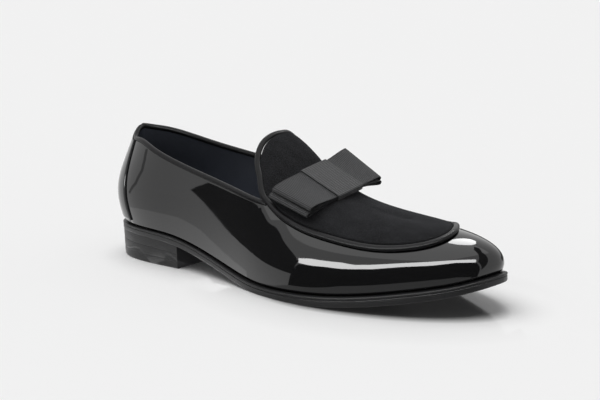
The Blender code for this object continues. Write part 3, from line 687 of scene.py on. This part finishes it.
def addPlug():
    loop, begin, top = (row[:, None] for row in plugEdge(plugShape["inset"]))
    share = np.linspace(0.0, 1.0, plugShape["rows"] + 1)
    place, angle = loop + (top - loop) * share, begin + (math.pi / 2 - begin) * share
    lift = gap + plugShape["suede"] + plugShape["crown"] * np.sin(np.pi / 2 * np.clip(share * 3, 0, 1))
    along = last.crest(top[:, 0])[:, 0]
    slope = last.spine(along + 0.5)[:, 1] - last.spine(along - 0.5)[:, 1]
    up = unit(np.column_stack([-slope, np.zeros(len(loop)), np.ones(len(loop))]))
    near = np.clip((share - plugShape["levelFrom"]) / (1 - plugShape["levelFrom"]), 0, 1)
    near = (near ** 2 * (3 - 2 * near))[None, :, None]  # both sides share the middle line
    lean = unit(last.normal(place, angle) * (1 - near) + up[:, None, :] * near)
    points = last.point(place, angle) + lean * lift[None, :, None]
    faces, _ = gridParts(points)
    piece = addPiece("suedePlug", points.reshape(-1, 3), faces, [suede, lining], ["vamp_plug"],
                     weld=True, turn=False)
    addThickness(piece, plugShape["suede"], rim=0)


# Piping: half width, height, how far its flat foot reaches and sinks in, and the share below its round.
pipingShape = {"half": 2.0, "height": 2.5, "foot": 0.8, "sink": 0.1, "upright": 0.44, "turning": 9}


def pipingLine():
    loop, angle, _ = plugEdge(0.0)
    end = last.loopOfSpine(last.throatSpine - plugShape["tongueLength"] * plugShape["tongueEdge"][-1][0])
    loop, angle = np.append(end, loop), np.append(math.pi / 2, angle)
    path, normal = last.point(loop, angle), last.normal(loop, angle)
    middle = unit(normal[1] + normal[-1])
    count = len(loop)
    turning = pipingShape["turning"]
    for k in range(1 - turning, turning):  # turn the lean over smoothly at the tongue's end
        weight = 1 - abs(k) / turning
        normal[k % count] = unit(normal[k % count] * (1 - weight) + middle * weight)
    return path, normal


def squareRings(path, normal, section):
    ahead = np.roll(path, -1, axis=0) - np.roll(path, 1, axis=0)
    side = unit(np.cross(unit(ahead), normal))
    return np.array([[p + s * a + n * u for a, u in section] for p, s, n in zip(path, side, normal)])


def addPiping():
    path, normal = pipingLine()
    half, height, upright = (pipingShape[key] for key in ("half", "height", "upright"))
    foot, base = half * pipingShape["foot"], gap - pipingShape["sink"]
    section = [(-foot, base), (foot, base)]
    for turn in range(-10, 191, 20):
        t = math.radians(turn)
        section.append((half * math.cos(t), gap + height * (upright + (1 - upright) * math.sin(t))))
    addTube("plugPiping", squareRings(path, normal, section), piping, ["plug_piping"])


# Collar binding on the top edge, run on under the piping at both ends.
collarShape = {"proud": 0.75, "runOn": 3.0, "step": 1.6, "lip": 0.35, "lipRows": (0.05, 0.3), "straight": 1.2,
               "swell": 1.02}


def addCollar():
    half = last.places(0.0, last.throat + collarShape["runOn"], collarShape["step"])
    loop = np.concatenate([half[::-1], last.period - half[1:]])
    trim = lastTable["collarTrim"]
    edge = last.angleMoved(loop, last.angleAtTopLine(loop), -trim)
    path, normal = last.point(loop, edge), last.normal(loop, edge)
    upward = unit(last.point(loop, edge + 0.02) - path)
    proud, lip, straight = (collarShape[key] for key in ("proud", "lip", "straight"))
    low, high = collarShape["lipRows"]
    middle, across = -wall / 2, wall / 2 + proud
    section = [(proud - lip, low), (proud, high)]
    for turn in range(0, 181, 15):
        t = math.radians(turn)
        swell = 1.0 if turn in (0, 180) else collarShape["swell"]
        section.append((middle + across * math.cos(t) * swell, straight + (trim - straight) * math.sin(t)))
    section += [(-wall - proud, high), (-wall - proud + lip, low)]
    rings = np.array([[p + n * a + u * b for a, b in section] for p, n, u in zip(path, normal, upward)])
    addTube("collarBinding", rings, piping, ["collar_binding"], closed=False, caps=True)


# Patent strip round the heel's back, wider below, with inked edges, also painted shade in the seams: share of
# the height, half width.
backShape = {"thick": 0.8, "rows": 44, "columns": 70, "foot": 0.02, "underBinding": 0.1,
             "round": 0.9, "edgeLift": 0.15, "wall": 0.5, "ink": 0.6, "inkLift": 0.3,
             "edge": ((0.0, 38.5), (0.29, 35.0), (0.47, 33.2), (0.74, 28.6), (1.0, 22.0))}


def addBackStrip():
    knots, halves = np.array(backShape["edge"]).T
    share = np.linspace(backShape["foot"], 1.0, backShape["rows"] + 1)
    half = smoothCurve(knots, halves[:, None])(share)[:, 0]
    across = np.linspace(-1.0, 1.0, backShape["columns"] + 1)
    places = (across[:, None] * half) % last.period
    flat = places.ravel()
    trim = lastTable["collarTrim"] + backShape["underBinding"]
    top = last.angleMoved(flat, last.angleAtTopLine(flat), -trim).reshape(places.shape)
    angle = top * share
    side = np.clip((1 - np.abs(across))[:, None] * half / backShape["round"], 0, 1)
    low = backShape["edgeLift"]
    lift = low + (gap + backShape["thick"] - low) * np.sqrt(1 - (1 - side) ** 2)
    skin, normal = last.point(places, angle), last.normal(places, angle)
    points = skin + normal * lift[:, :, None]
    faces, _ = gridParts(points)
    piece = addPiece("backStrip", points.reshape(-1, 3), faces, [patent, patent], ["back_strip"],
                     turn=False)
    addThickness(piece, backShape["wall"])
    # dark tubes along both edges: partly the cut edges' ink, partly painted shade in the seams
    turn = np.radians(np.arange(0, 360, 45))
    for name, k in (("backEdgeLateral", -1), ("backEdgeMedial", 0)):
        line, lean = skin[k] + normal[k] * backShape["inkLift"], normal[k][:, None]
        beside = np.cross(unit(np.gradient(line, axis=0)), normal[k])[:, None]
        around = np.cos(turn)[:, None] * beside + np.sin(turn)[:, None] * lean
        addTube(name, line[:, None] + backShape["ink"] * around, edgeInkAndShade, [], closed=False, caps=True)


# Sole and heel. Edge rows give the inset from the ledge and the share of the depth.
soleShape = {
    "step": 2.0, "heelStep": 1.5, "sharp": 50.0, "runRow": 4,
    "edge": (
        (6.0, 0.0), (1.4, 0.0), (0.75, 0.015), (0.28, 0.05), (0.04, 0.10), (0.0, 0.15), (0.0, 0.21),
        (0.06, 0.25), (0.32, 0.285), (0.5, 0.31), (0.38, 0.335), (0.14, 0.37), (0.1, 0.42),
        (0.1, 0.62), (0.1, 0.82), (0.22, 0.91), (0.55, 0.97), (1.3, 1.0), (7.0, 1.0),
    ),
    "heelBreast": 70.0, "heelTaper": 0.6, "heelInset": 0.4,
    "heelSide": (
        (0.1, 1.045), (0.0, 1.0), (0.0, 0.72), (0.1, 0.69), (0.3, 0.67), (0.1, 0.65), (0.0, 0.62),
        (0.0, 0.38), (0.1, 0.35), (0.3, 0.33), (0.1, 0.31), (0.0, 0.28), (0.0, 0.09), (0.2, 0.03),
        (0.6, 0.0),
    ),
}


def edgeRows(loop, heel):
    row = last.loop(loop)
    low = np.maximum(row[:, 3], 0.0)
    rows = []
    if heel:
        for inset, share in soleShape["heelSide"]:
            taper = soleShape["heelTaper"] * (1 - share)
            level = last.outline(loop, row[:, 5] - soleShape["heelInset"] - taper - inset)
            rows.append(np.column_stack([level, (low - gap) * share]))
    else:
        for inset, depth in soleShape["edge"]:
            level = last.outline(loop, row[:, 5] - inset)
            rows.append(np.column_stack([level, row[:, 2] + (low - row[:, 2]) * depth]))
    return np.stack(rows, axis=1)


def addSlab(name, half, heel, finish, node):
    first, second = edgeRows(half, heel), edgeRows(last.period - half, heel)
    if heel:
        first[-1, :, 0] = second[-1, :, 0] = soleShape["heelBreast"]
    rings = np.concatenate([first, second[:, ::-1]], axis=1)
    count, size = rings.shape[:2]
    long = runLength(rings[:, soleShape["runRow"]])
    depth = first[len(first) // 2, :, 2]
    cross = np.concatenate([depth, depth[::-1], depth[:1]])
    faces, cuts = gridParts(rings, False, True, long, cross)
    faces += [tuple(reversed(range(size))), tuple((count - 1) * size + j for j in range(size))]
    for ring in (rings[0][::-1], rings[-1]):
        cuts += [(p[1], p[2]) for p in ring]
    piece = addPiece(name, rings.reshape(-1, 3), faces, [finish], [node], cuts)
    piece.data.set_sharp_from_angle(angle=math.radians(soleShape["sharp"]))
    return piece


def addSole():
    half = last.places(0.0, last.toe, soleShape["step"])
    addSlab("outsole", half, False, soleEdge, "outsole")
    spots = np.linspace(0.0, last.toe, lastTable["lookups"])
    breast = float(np.interp(soleShape["heelBreast"], last.loop(spots)[:, 0], spots))
    half = last.places(0.0, breast, soleShape["heelStep"])
    heel = addSlab("stackedHeel", half, True, heelStack, "heel")
    heel.data.materials.append(edgeInkAndShade)
    for face in heel.data.polygons:
        face.material_index = int(face.normal.x > 0.8)  # the breast, which looks forward, is darkened with the inked finish: painted shade under the arch


# Ribbon bow: two flattened loops and a band, pressed flat in the middle.
bowShape = {"lateral": 40.0, "medial": 33.5, "width": 32.0, "band": 24.5, "spine": 175.0, "roll": 11.0,
            "pitch": 23.5, "droopLateral": 3.0, "droopMedial": 1.3, "twist": 2.0, "rise": 3.4, "press": 0.6,
            "step": 1.0, "clear": 2.4, "ribbon": 0.55, "cross": 14, "bandClear": 1.0, "bandCorner": 0.75,
            "bandInside": 0.2, "edgeDrop": 0.12, "weaveHalf": 16.0, "sharp": 60.0, "turnSteps": 19,
            "loopSteps": (26, 14, 30), "cornerSteps": 8, "flatSteps": 24}
bandEdge = bowShape["band"] / 2 + bowShape["bandClear"]


def outerShare(along):
    # distance from the band's edge towards the end of the bow, as a share
    reach = bowShape["medial"] if along > 0 else bowShape["lateral"]
    return max(abs(along) - bandEdge, 0.0) / (reach - bandEdge)


def twisted(along, cross):
    return -math.copysign(outerShare(along), along) * bowShape["twist"] * cross / (bowShape["width"] / 2)


def bowAxes():
    pitch, roll = math.radians(bowShape["pitch"]), math.radians(bowShape["roll"])
    centre = np.append(bowShape["spine"], last.spine(bowShape["spine"]))
    down = np.array([math.cos(pitch), 0.0, -math.sin(pitch)])
    level = np.array([0.0, math.cos(roll), math.sin(roll)])
    along = unit(level - down * np.dot(level, down))
    return centre, along, down, np.cross(down, along)


def ribbonRing(lateral, medial, side, inset):
    flat, rise, press = bandEdge, bowShape["rise"], bowShape["press"]
    ends = (-lateral + rise / 2, medial - rise / 2)
    turns = np.radians(np.linspace(-90, 90, bowShape["turnSteps"]))
    near, under, far = bowShape["loopSteps"]  # medial end, beneath the band, lateral end
    steps = np.concatenate([np.linspace(ends[1], flat, near)[1:], np.linspace(flat, -flat, under)[1:-1],
                            np.linspace(-flat, ends[0], far)[:-1]])

    def swell(x):
        reach = ends[1] if x > 0 else -ends[0]
        share = min(max((abs(x) - flat) / (reach - flat), 0.0), 1.0)
        return share * share * (3 - 2 * share) * (rise / 2 - press)

    def settle(x, y):
        return x, y - bowShape["droopMedial" if x > 0 else "droopLateral"] * outerShare(x) ** 2

    end, middle = rise / 2 - inset, side * swell(ends[1])
    right = [(ends[1] + end * math.cos(t), middle + end * math.sin(t)) for t in turns]
    top = [(x, side * swell(x) + press + swell(x) - inset) for x in steps]
    left = [(ends[0] - end * math.cos(t), middle - end * math.sin(t)) for t in turns]
    bottom = [(x, side * swell(x) - press - swell(x) + inset) for x in steps[::-1]]
    return np.array([settle(x, y) for x, y in right + top + left + bottom])


def addRibbon(name, outer, inner, half, axes, node, weave, turned=False):
    # a closed run of ribbon: outer and inner lines in one plane, carried across its width
    centre, run, cross, up = axes
    spread = np.linspace(-half, half, bowShape["cross"] + 1)
    soft = bowShape["edgeDrop"] * (spread / half) ** 6  # the woven edges lie a little lower
    rings = []
    for (ox, oy), (ix, iy) in zip(outer, inner):
        thick = np.array([ox - ix, oy - iy])
        mid = np.array([ox + ix, oy + iy]) / 2
        row = []
        for face in (1, -1):  # out along the outer face, back along the inner one
            for d, s in zip(spread[::face], soft[::face]):
                q = mid + face * thick * (0.5 - s)
                row.append(centre + run * q[0] + up * (q[1] + turned * twisted(q[0], d)) + cross * d)
        rings.append(row)
    rings = np.array(rings)
    long = runLength(np.column_stack([outer, np.zeros(len(outer))]), True)
    wide = np.concatenate([spread, spread[::-1], spread[:1]]) * bowShape["weaveHalf"] / half
    faces, cuts = gridParts(rings, True, True, long, wide)
    piece = addPiece(name, rings.reshape(-1, 3), faces, [weave], [node], cuts)
    piece.data.set_sharp_from_angle(angle=math.radians(bowShape["sharp"]))


def addBow():
    centre, along, down, up = bowAxes()
    thick, press = bowShape["ribbon"], bowShape["press"]
    rest = gap + plugShape["suede"] + bowShape["clear"]
    first = rest + thick + gap + press
    second = first + 2 * press + gap
    high = second + press + gap + thick
    for name, node, longer, side, lift in (
        ("bowLowerLoop", "bow_lower_loop", bowShape["step"], -1, first),
        ("bowUpperLoop", "bow_upper_loop", -bowShape["step"], 1, second),
    ):
        ends = bowShape["lateral"] + longer, bowShape["medial"] + longer
        outer, inner = (ribbonRing(*ends, side, inset) for inset in (0.0, thick))
        axes = centre + up * lift, along, down, up
        addRibbon(name, outer, inner, bowShape["width"] / 2, axes, node, ribbon, turned=True)
    reach = bowShape["width"] / 2 + gap + thick

    def bandRing(inset, corner):
        front, base, top = reach - inset - corner, rest + inset + corner, high - inset - corner
        ring = []
        corners = (front, top, 0), (-front, top, 90), (-front, base, 180), (front, base, 270)
        for middle, level, begin in corners:
            for turn in np.radians(np.linspace(begin, begin + 90, bowShape["cornerSteps"])):
                ring.append((middle + corner * math.cos(turn), level + corner * math.sin(turn)))
            if begin in (0, 180):  # long flat faces between the corners
                (x, y), far = ring[-1], -front if begin == 0 else front
                steps = bowShape["flatSteps"]
                ring += [(x + (far - x) * k / steps, y) for k in range(1, steps)]
        return np.array(ring)

    axes = centre, down, along, up
    outer, inner = bandRing(0.0, bowShape["bandCorner"]), bandRing(thick, bowShape["bandInside"])
    addRibbon("bowBand", outer, inner, bowShape["band"] / 2, axes, "bow_band", bandRibbonPaintedLight)


# Stitches are short bent capsules of thread. Rings give the share of the length, the girth and the depth sunk.
stitchShape = {
    "pitch": 2.3, "length": 1.55, "half": 0.2, "sides": 6, "inset": 3.3, "lift": 0.28,
    "rings": ((-0.5, 0.25, 0.22), (-0.36, 0.9, 0.05), (0.0, 1.0, 0.0), (0.36, 0.9, 0.05), (0.5, 0.25, 0.22)),
}


def addPlugStitches():
    loop, angle, _ = plugEdge(stitchShape["inset"])
    lean = last.normal(loop, angle)
    line = last.point(loop, angle) + lean * (gap + plugShape["suede"] + stitchShape["lift"])
    run, sides = runLength(line), stitchShape["sides"]

    def along(rows, place):
        return np.array([np.interp(place, run, column) for column in rows.T])

    points, faces = [], []
    count = int(run[-1] / stitchShape["pitch"])
    for k in range(count):
        centre = (k + 0.5) * run[-1] / count
        rings = []
        for share, girth, sink in stitchShape["rings"]:
            place = centre + share * stitchShape["length"]
            spot, up = along(line, place), unit(along(lean, place))
            ahead = unit(along(line, place + 0.3) - along(line, place - 0.3))
            side, radius = np.cross(ahead, up), stitchShape["half"] * girth
            rings.append([spot - up * sink + radius * (side * math.cos(t) + up * math.sin(t))
                          for t in np.radians(np.arange(0, 360, 360 / sides))])
        start = len(points) * sides
        end = start + (len(rings) - 1) * sides
        faces += gridParts(np.array(rings), False, True, start=start)[0]
        faces += [tuple(start + j for j in reversed(range(sides))), tuple(end + j for j in range(sides))]
        points += rings
    addPiece("plugStitches", np.array(points).reshape(-1, 3), faces, [thread])


addUpper()
addPlug()
addPiping()
print("upper, plug and piping made")
addCollar()
addBackStrip()
addSole()
print("collar, back strip, sole and heel made")
addBow()
addPlugStitches()
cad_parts["insole"].data.materials.clear()
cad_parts["insole"].data.materials.append(lining)
print("bow, stitches and sock made")


# Studio: soft light from above and behind, a pale floor, and cards that only the gloss sees.
studio = {
    "world": 0.28,
    "backdrop": 0.905, "backdropRadius": 5400.0,
    "surround": 1.15, "surroundRadius": 5000.0,
    "overhead": 2.3, "overheadFrom": (-0.3, -0.05, 1.0), "overheadWidth": 62.0,
}


def inFrame(points):
    return (np.asarray(points, float) + standShift) * 0.001


def addStage(name, points, faces, material):
    mesh = bpy.data.meshes.new(name)
    mesh.from_pydata(inFrame(points).tolist(), [], faces)
    mesh.materials.append(material)
    item = bpy.data.objects.new(name, mesh)
    scene.collection.objects.link(item)
    return item


def addGlow(name, points, faces, strength):
    finish = Finish(name + "Glow")
    finish.tree.nodes.remove(finish.shader)
    glow = finish.node("Emission", {}, {"Color": (1.0, 1.0, 1.0), "Strength": strength})
    finish.tree.links.new(glow.socket, finish.tree.nodes["Material Output"].inputs["Surface"])
    card = addStage(name, points, faces, finish.material)
    card.visible_diffuse = False
    card.visible_shadow = False
    card.visible_transmission = False
    return card


def addCard(name, points, strength):
    addGlow(name, points, [tuple(range(len(points)))], strength).visible_camera = False


def levelCorners(x0, y0, x1, y1, z):
    return [(x0, y0, z), (x1, y0, z), (x1, y1, z), (x0, y1, z)]


def addLongCard(name, edges, strength):
    # a curved card between two edges, given as pairs of points
    points = [p for pair in edges for p in pair]
    faces = [(2 * k, 2 * k + 2, 2 * k + 3, 2 * k + 1) for k in range(len(edges) - 1)]
    addGlow(name, points, faces, strength).visible_camera = False


def addDomes():
    # the camera sees the backdrop, the gloss sees the surround
    rise, turn = np.radians(np.linspace(-2, 90, 24)), np.radians(np.arange(0, 360, 7.5))
    shell = np.stack([np.cos(rise)[:, None] * np.cos(turn), np.cos(rise)[:, None] * np.sin(turn),
                      np.sin(rise)[:, None] * np.ones(len(turn))], axis=-1)
    faces, _ = gridParts(shell, False, True)
    shell = shell.reshape(-1, 3)
    addGlow("backdrop", shell * studio["backdropRadius"], faces, studio["backdrop"]).visible_glossy = False
    addGlow("surround", shell * studio["surroundRadius"], faces, studio["surround"]).visible_camera = False


# The floor has two ovals under the forepart, one glossy and one painted darker as the shoe's shadow. Each is
# given in metres by its middle along the shoe, half length and half width. Half the floor's own size is in
# millimetres.
floorLook = {
    "colour": (0.90, 0.90, 0.90), "grainColour": (0.88, 0.88, 0.885), "grain": 0.1, "grainScale": 30.0,
    "rough": 0.10, "roughGrain": 0.02, "ior": 1.5, "half": 6000.0,
    "gloss": (0.06, 0.14, 0.10), "glossMost": 0.6,
    "shade": (0.045, 0.117, 0.058), "shadePower": 1.7, "shadeMost": 0.82, "shadeColour": (0.03, 0.03, 0.032),
    "shadeFrom": 0.03,
}


def addFloor():
    look, finish = floorLook, Finish("paleFloor")
    spot = finish.place()
    x, y = (finish.node("SeparateXYZ", {}, {0: spot}, out=k) for k in (0, 1))

    def oval(name, power):
        middle, long, wide = look[name]
        return ((x - middle).size() / long) ** power + (y.size() / wide) ** power

    near = finish.ramp(oval("gloss", 2.0) ** 0.5, (0.55, look["glossMost"]), (1.0, 0.0))
    # painted shadow: inside this oval the floor's colour darkens towards the shadow colour
    shade = finish.ramp(oval("shade", look["shadePower"]), (0.72, look["shadeMost"]), (1.0, 0.0))
    shade = shade * finish.ramp(x, (0.0, 0.0), (look["shadeFrom"], 1.0))  # none behind the ball
    grain = finish.noise(look["grainScale"], 2.0)
    pale = finish.blend(grain * look["grain"], look["colour"], look["grainColour"])
    colour = finish.blend(shade, pale, look["shadeColour"])
    plain = finish.node("BsdfDiffuse", {}, {"Color": colour})
    rough = look["rough"] + grain * look["roughGrain"]
    finish.shade({"Base Color": colour, "Roughness": rough, "IOR": look["ior"]})
    gloss = Wire(finish.tree, finish.shader.outputs[0])
    mix = finish.node("MixShader", {}, {0: near, 1: plain, 2: gloss})
    finish.tree.links.new(mix.socket, finish.tree.nodes["Material Output"].inputs["Surface"])
    half = look["half"]
    floor = addStage("floor", levelCorners(-half, -half, half, half, 0.0), [(0, 1, 2, 3)], finish.material)
    floor.visible_glossy = False  # the gloss sees the floor cards below instead


# Cards as pairs of edge points, set for the photograph's angle. The patent side mirrors the dark ones as the
# patch on the quarter and the band above the sole, the bright ones as the line on the mudguard, the glint
# on the toe and the paler foot of the quarter.
cardPlan = {
    "patch": (
        ((38.5, -70.8, 62.5), (42.7, -69.3, 68.2)), ((42.9, -70.4, 57.8), (50.8, -67.3, 78.0)),
        ((49.1, -69.4, 50.2), (62.1, -66.9, 76.9)), ((54.5, -67.9, 42.7), (74.5, -67.4, 77.0)),
        ((60.1, -66.2, 36.4), (90.6, -72.2, 81.8)), ((65.8, -64.8, 30.1), (108.9, -76.6, 89.5)),
        ((72.0, -64.2, 24.9), (122.5, -77.0, 91.0)), ((81.7, -66.1, 20.3), (130.5, -76.0, 85.0)),
        ((92.9, -71.7, 17.2), (132.7, -76.2, 80.3)), ((104.1, -78.5, 14.4), (139.4, -84.4, 69.0)),
        ((116.4, -85.0, 11.7), (146.3, -90.1, 61.9)), ((133.5, -93.1, 8.7), (152.0, -94.6, 54.4)),
        ((149.8, -98.9, 6.8), (158.8, -100.2, 40.9)),
    ),
    "band": (
        ((60.2, -262.2, 57.9), (165.4, -68.2, -0.2)), ((89.5, -270.5, 71.9), (187.4, -71.4, -0.2)),
        ((126, -277, 85.3), (200.1, -75.5, -0.2)), ((159.6, -282.7, 84.8), (212.1, -82.3, -0.2)),
        ((225.1, -278.6, 107.2), (239.8, -82, -0.2)), ((288.1, -253.7, 147.3), (268.1, -79.2, -0.2)),
        ((369.5, -214.9, 164.5), (301.7, -72.7, -0.2)), ((430.6, -145.6, 190.1), (327.4, -51.1, -0.2)),
        ((495.2, -83.1, 158.9), (324.3, -12.7, -0.2)),
    ),
    "notch": (
        ((297.8, 103.5, 266.9), (338.6, 58.2, 276.1)), ((321.6, 106.8, 263.1), (496.7, -70.5, 164)),
        ((380.9, 67.4, 261.3), (409.3, -31.1, -0.2)),
    ),
    "heelLine": (
        ((-140.6, -83.5, 153.7), (-131.5, -93.1, 160.2)), ((-136.8, -105.7, 133.8), (-127.7, -115.6, 138.3)),
        ((-135.7, -122.6, 107.6), (-126.2, -133.6, 108.8)), ((-147.5, -120.4, 65.1), (-139.3, -131.7, 60)),
        ((-166.1, -86.9, 21.7), (-160.4, -97.9, 17)),
    ),
    "strip": (
        ((-66.2, -452.6, 180.4), (-70.9, -469.6, 109.2)), ((-18.8, -452.6, 230.7), (-19.5, -490.7, 117.9)),
        ((34.6, -461, 251.1), (42.4, -505.3, 144)), ((85.6, -464, 269.7), (100.5, -517.7, 146.1)),
        ((136.3, -480.7, 255.4), (151.3, -519.2, 165.2)), ((188.6, -467.5, 286.8), (210.9, -515.4, 186.1)),
        ((288.2, -413.6, 356.5), (320.2, -472.4, 264.1)), ((417.7, -332.3, 401), (466.8, -403.3, 296.9)),
        ((530.5, -219.9, 419.1), (578.1, -273.2, 346.5)), ((636.1, -104.2, 384.4), (698, -156.9, 285.1)),
    ),
    "toe": (
        ((184.5, 172.8, 388.8), (213, 128.9, 412.7)), ((172.9, 233.9, 348.7), (249.4, 127.5, 417.1)),
        ((178, 269.2, 321.3), (269.6, 152.6, 409)), ((190.6, 284.8, 310.3), (276.9, 181, 396.6)),
        ((215.8, 284.5, 317.3), (262.1, 232.5, 366.1)),
    ),
    "heelGlow": (
        ((-11.6, -37.3, 21.2), (-12.7, -28.0, 10.9)), ((2.9, -49.9, 22.4), (2.7, -25.2, 0.8)),
        ((16.7, -56.1, 22.8), (21.9, -15.3, -0.2)), ((32.4, -58.2, 22.6), (32.6, -13.7, -0.0)),
        ((43.7, -56.8, 22.8), (45.8, -32.3, -0.2)), ((52.4, -55.2, 20.7), (58.1, -27.3, -0.2)),
        ((62.4, -53.5, 17.3), (65.9, -12.4, -0.2)), ((71.9, -51.5, 11.1), (84.9, -36.6, -0.2)),
        ((83.4, -50.4, 4.8), (102.6, -36.9, -0.2)), ((94.7, -50.7, -0.2), (113.6, -43.4, -0.2)),
        ((120.1, -51.5, -0.2), (130.6, -44.7, -0.2)),
    ),
    "soleShade": (
        (165, -68), (187, -71), (200, -75.5), (212, -82), (240, -82), (268, -79),
        (302, -73), (327, -51), (324, -12), (318, 5), (150, 0), (140, -50),
    ),
}
cardStrength = {
    "floorGlow": 1.12, "soleShade": 0.62, "patch": 0.10, "band": 0.08, "notch": 0.12, "heelLine": 0.5,
    "strip": 15.0, "toe": 13.0, "topLight": 1.9, "farFlag": 0.15,
}
heelGlowSteps = ((4.0, 1.5), (2.4, 1.95), (1.0, 2.45), (-0.5, 2.95))  # soft upper edge: its lift, strength


def addCards():
    addCard("floorGlow", levelCorners(-3000, -3000, 3000, 3000, -0.6), cardStrength["floorGlow"])
    for k, (lift, strength) in enumerate(heelGlowSteps):
        edges = np.array(cardPlan["heelGlow"]) + (0.0, 0.4 * k, 0.0)  # the brighter steps stand in front
        edges[:, 0, 2] += lift
        addLongCard("heelGlow%d" % k, edges.tolist(), strength)
    addCard("soleShade", [(x, y, -0.3) for x, y in cardPlan["soleShade"]], cardStrength["soleShade"])
    for name in ("patch", "band", "notch", "heelLine", "strip", "toe"):
        addLongCard(name + "Card", cardPlan[name], cardStrength[name])
    addCard("topLight", levelCorners(-400, -800, 800, 500, 950), cardStrength["topLight"])
    flag = [(-260, 330, 0), (-260, 330, 70), (420, 330, 90), (420, 330, 0)]
    addCard("farFlag", flag, cardStrength["farFlag"])


def addLights():
    world = bpy.data.worlds.new("studioWorld")
    world.use_nodes = True
    glow = world.node_tree.nodes["Background"].inputs
    glow["Color"].default_value, glow["Strength"].default_value = (1.0, 1.0, 1.0, 1.0), studio["world"]
    scene.world = world
    lamp = bpy.data.lights.new("overhead", "SUN")
    lamp.energy, lamp.angle = studio["overhead"], math.radians(studio["overheadWidth"])
    overhead = bpy.data.objects.new("overhead", lamp)
    overhead.rotation_mode = "QUATERNION"
    overhead.rotation_quaternion = Vector(studio["overheadFrom"]).to_track_quat("Z", "Y")
    overhead.visible_glossy = False
    scene.collection.objects.link(overhead)


# Camera at the photograph's angle to the shoe.
cameraPlace = {"azimuth": 38.0, "elevation": 12.0, "roll": 0.5, "distance": 983.0, "lens": 90.0, "sensor": 36.0,
               "target": (151.4, 0.0, 52.5)}


def addCamera():
    a, e, r = (math.radians(cameraPlace[k]) for k in ("azimuth", "elevation", "roll"))
    back = Vector((math.sin(a) * math.cos(e), -math.cos(a) * math.cos(e), math.sin(e)))
    right = Vector((math.cos(a), math.sin(a), 0.0))
    up = back.cross(right)
    tiltRight = right * math.cos(r) - up * math.sin(r)
    tiltUp = up * math.cos(r) + right * math.sin(r)
    data = bpy.data.cameras.new("photoCamera")
    data.lens, data.sensor_width, data.sensor_fit = cameraPlace["lens"], cameraPlace["sensor"], "HORIZONTAL"
    data.clip_start, data.clip_end = 0.01, 50.0
    camera = bpy.data.objects.new("photoCamera", data)
    turn = Matrix((tiltRight, tiltUp, back)).transposed().to_4x4()
    place = Vector(inFrame(cameraPlace["target"])) + back * cameraPlace["distance"] * 0.001
    camera.matrix_world = Matrix.Translation(place) @ turn
    scene.collection.objects.link(camera)
    scene.camera = camera


addFloor()
addDomes()
addCards()
addLights()
addCamera()
print("studio and camera made")
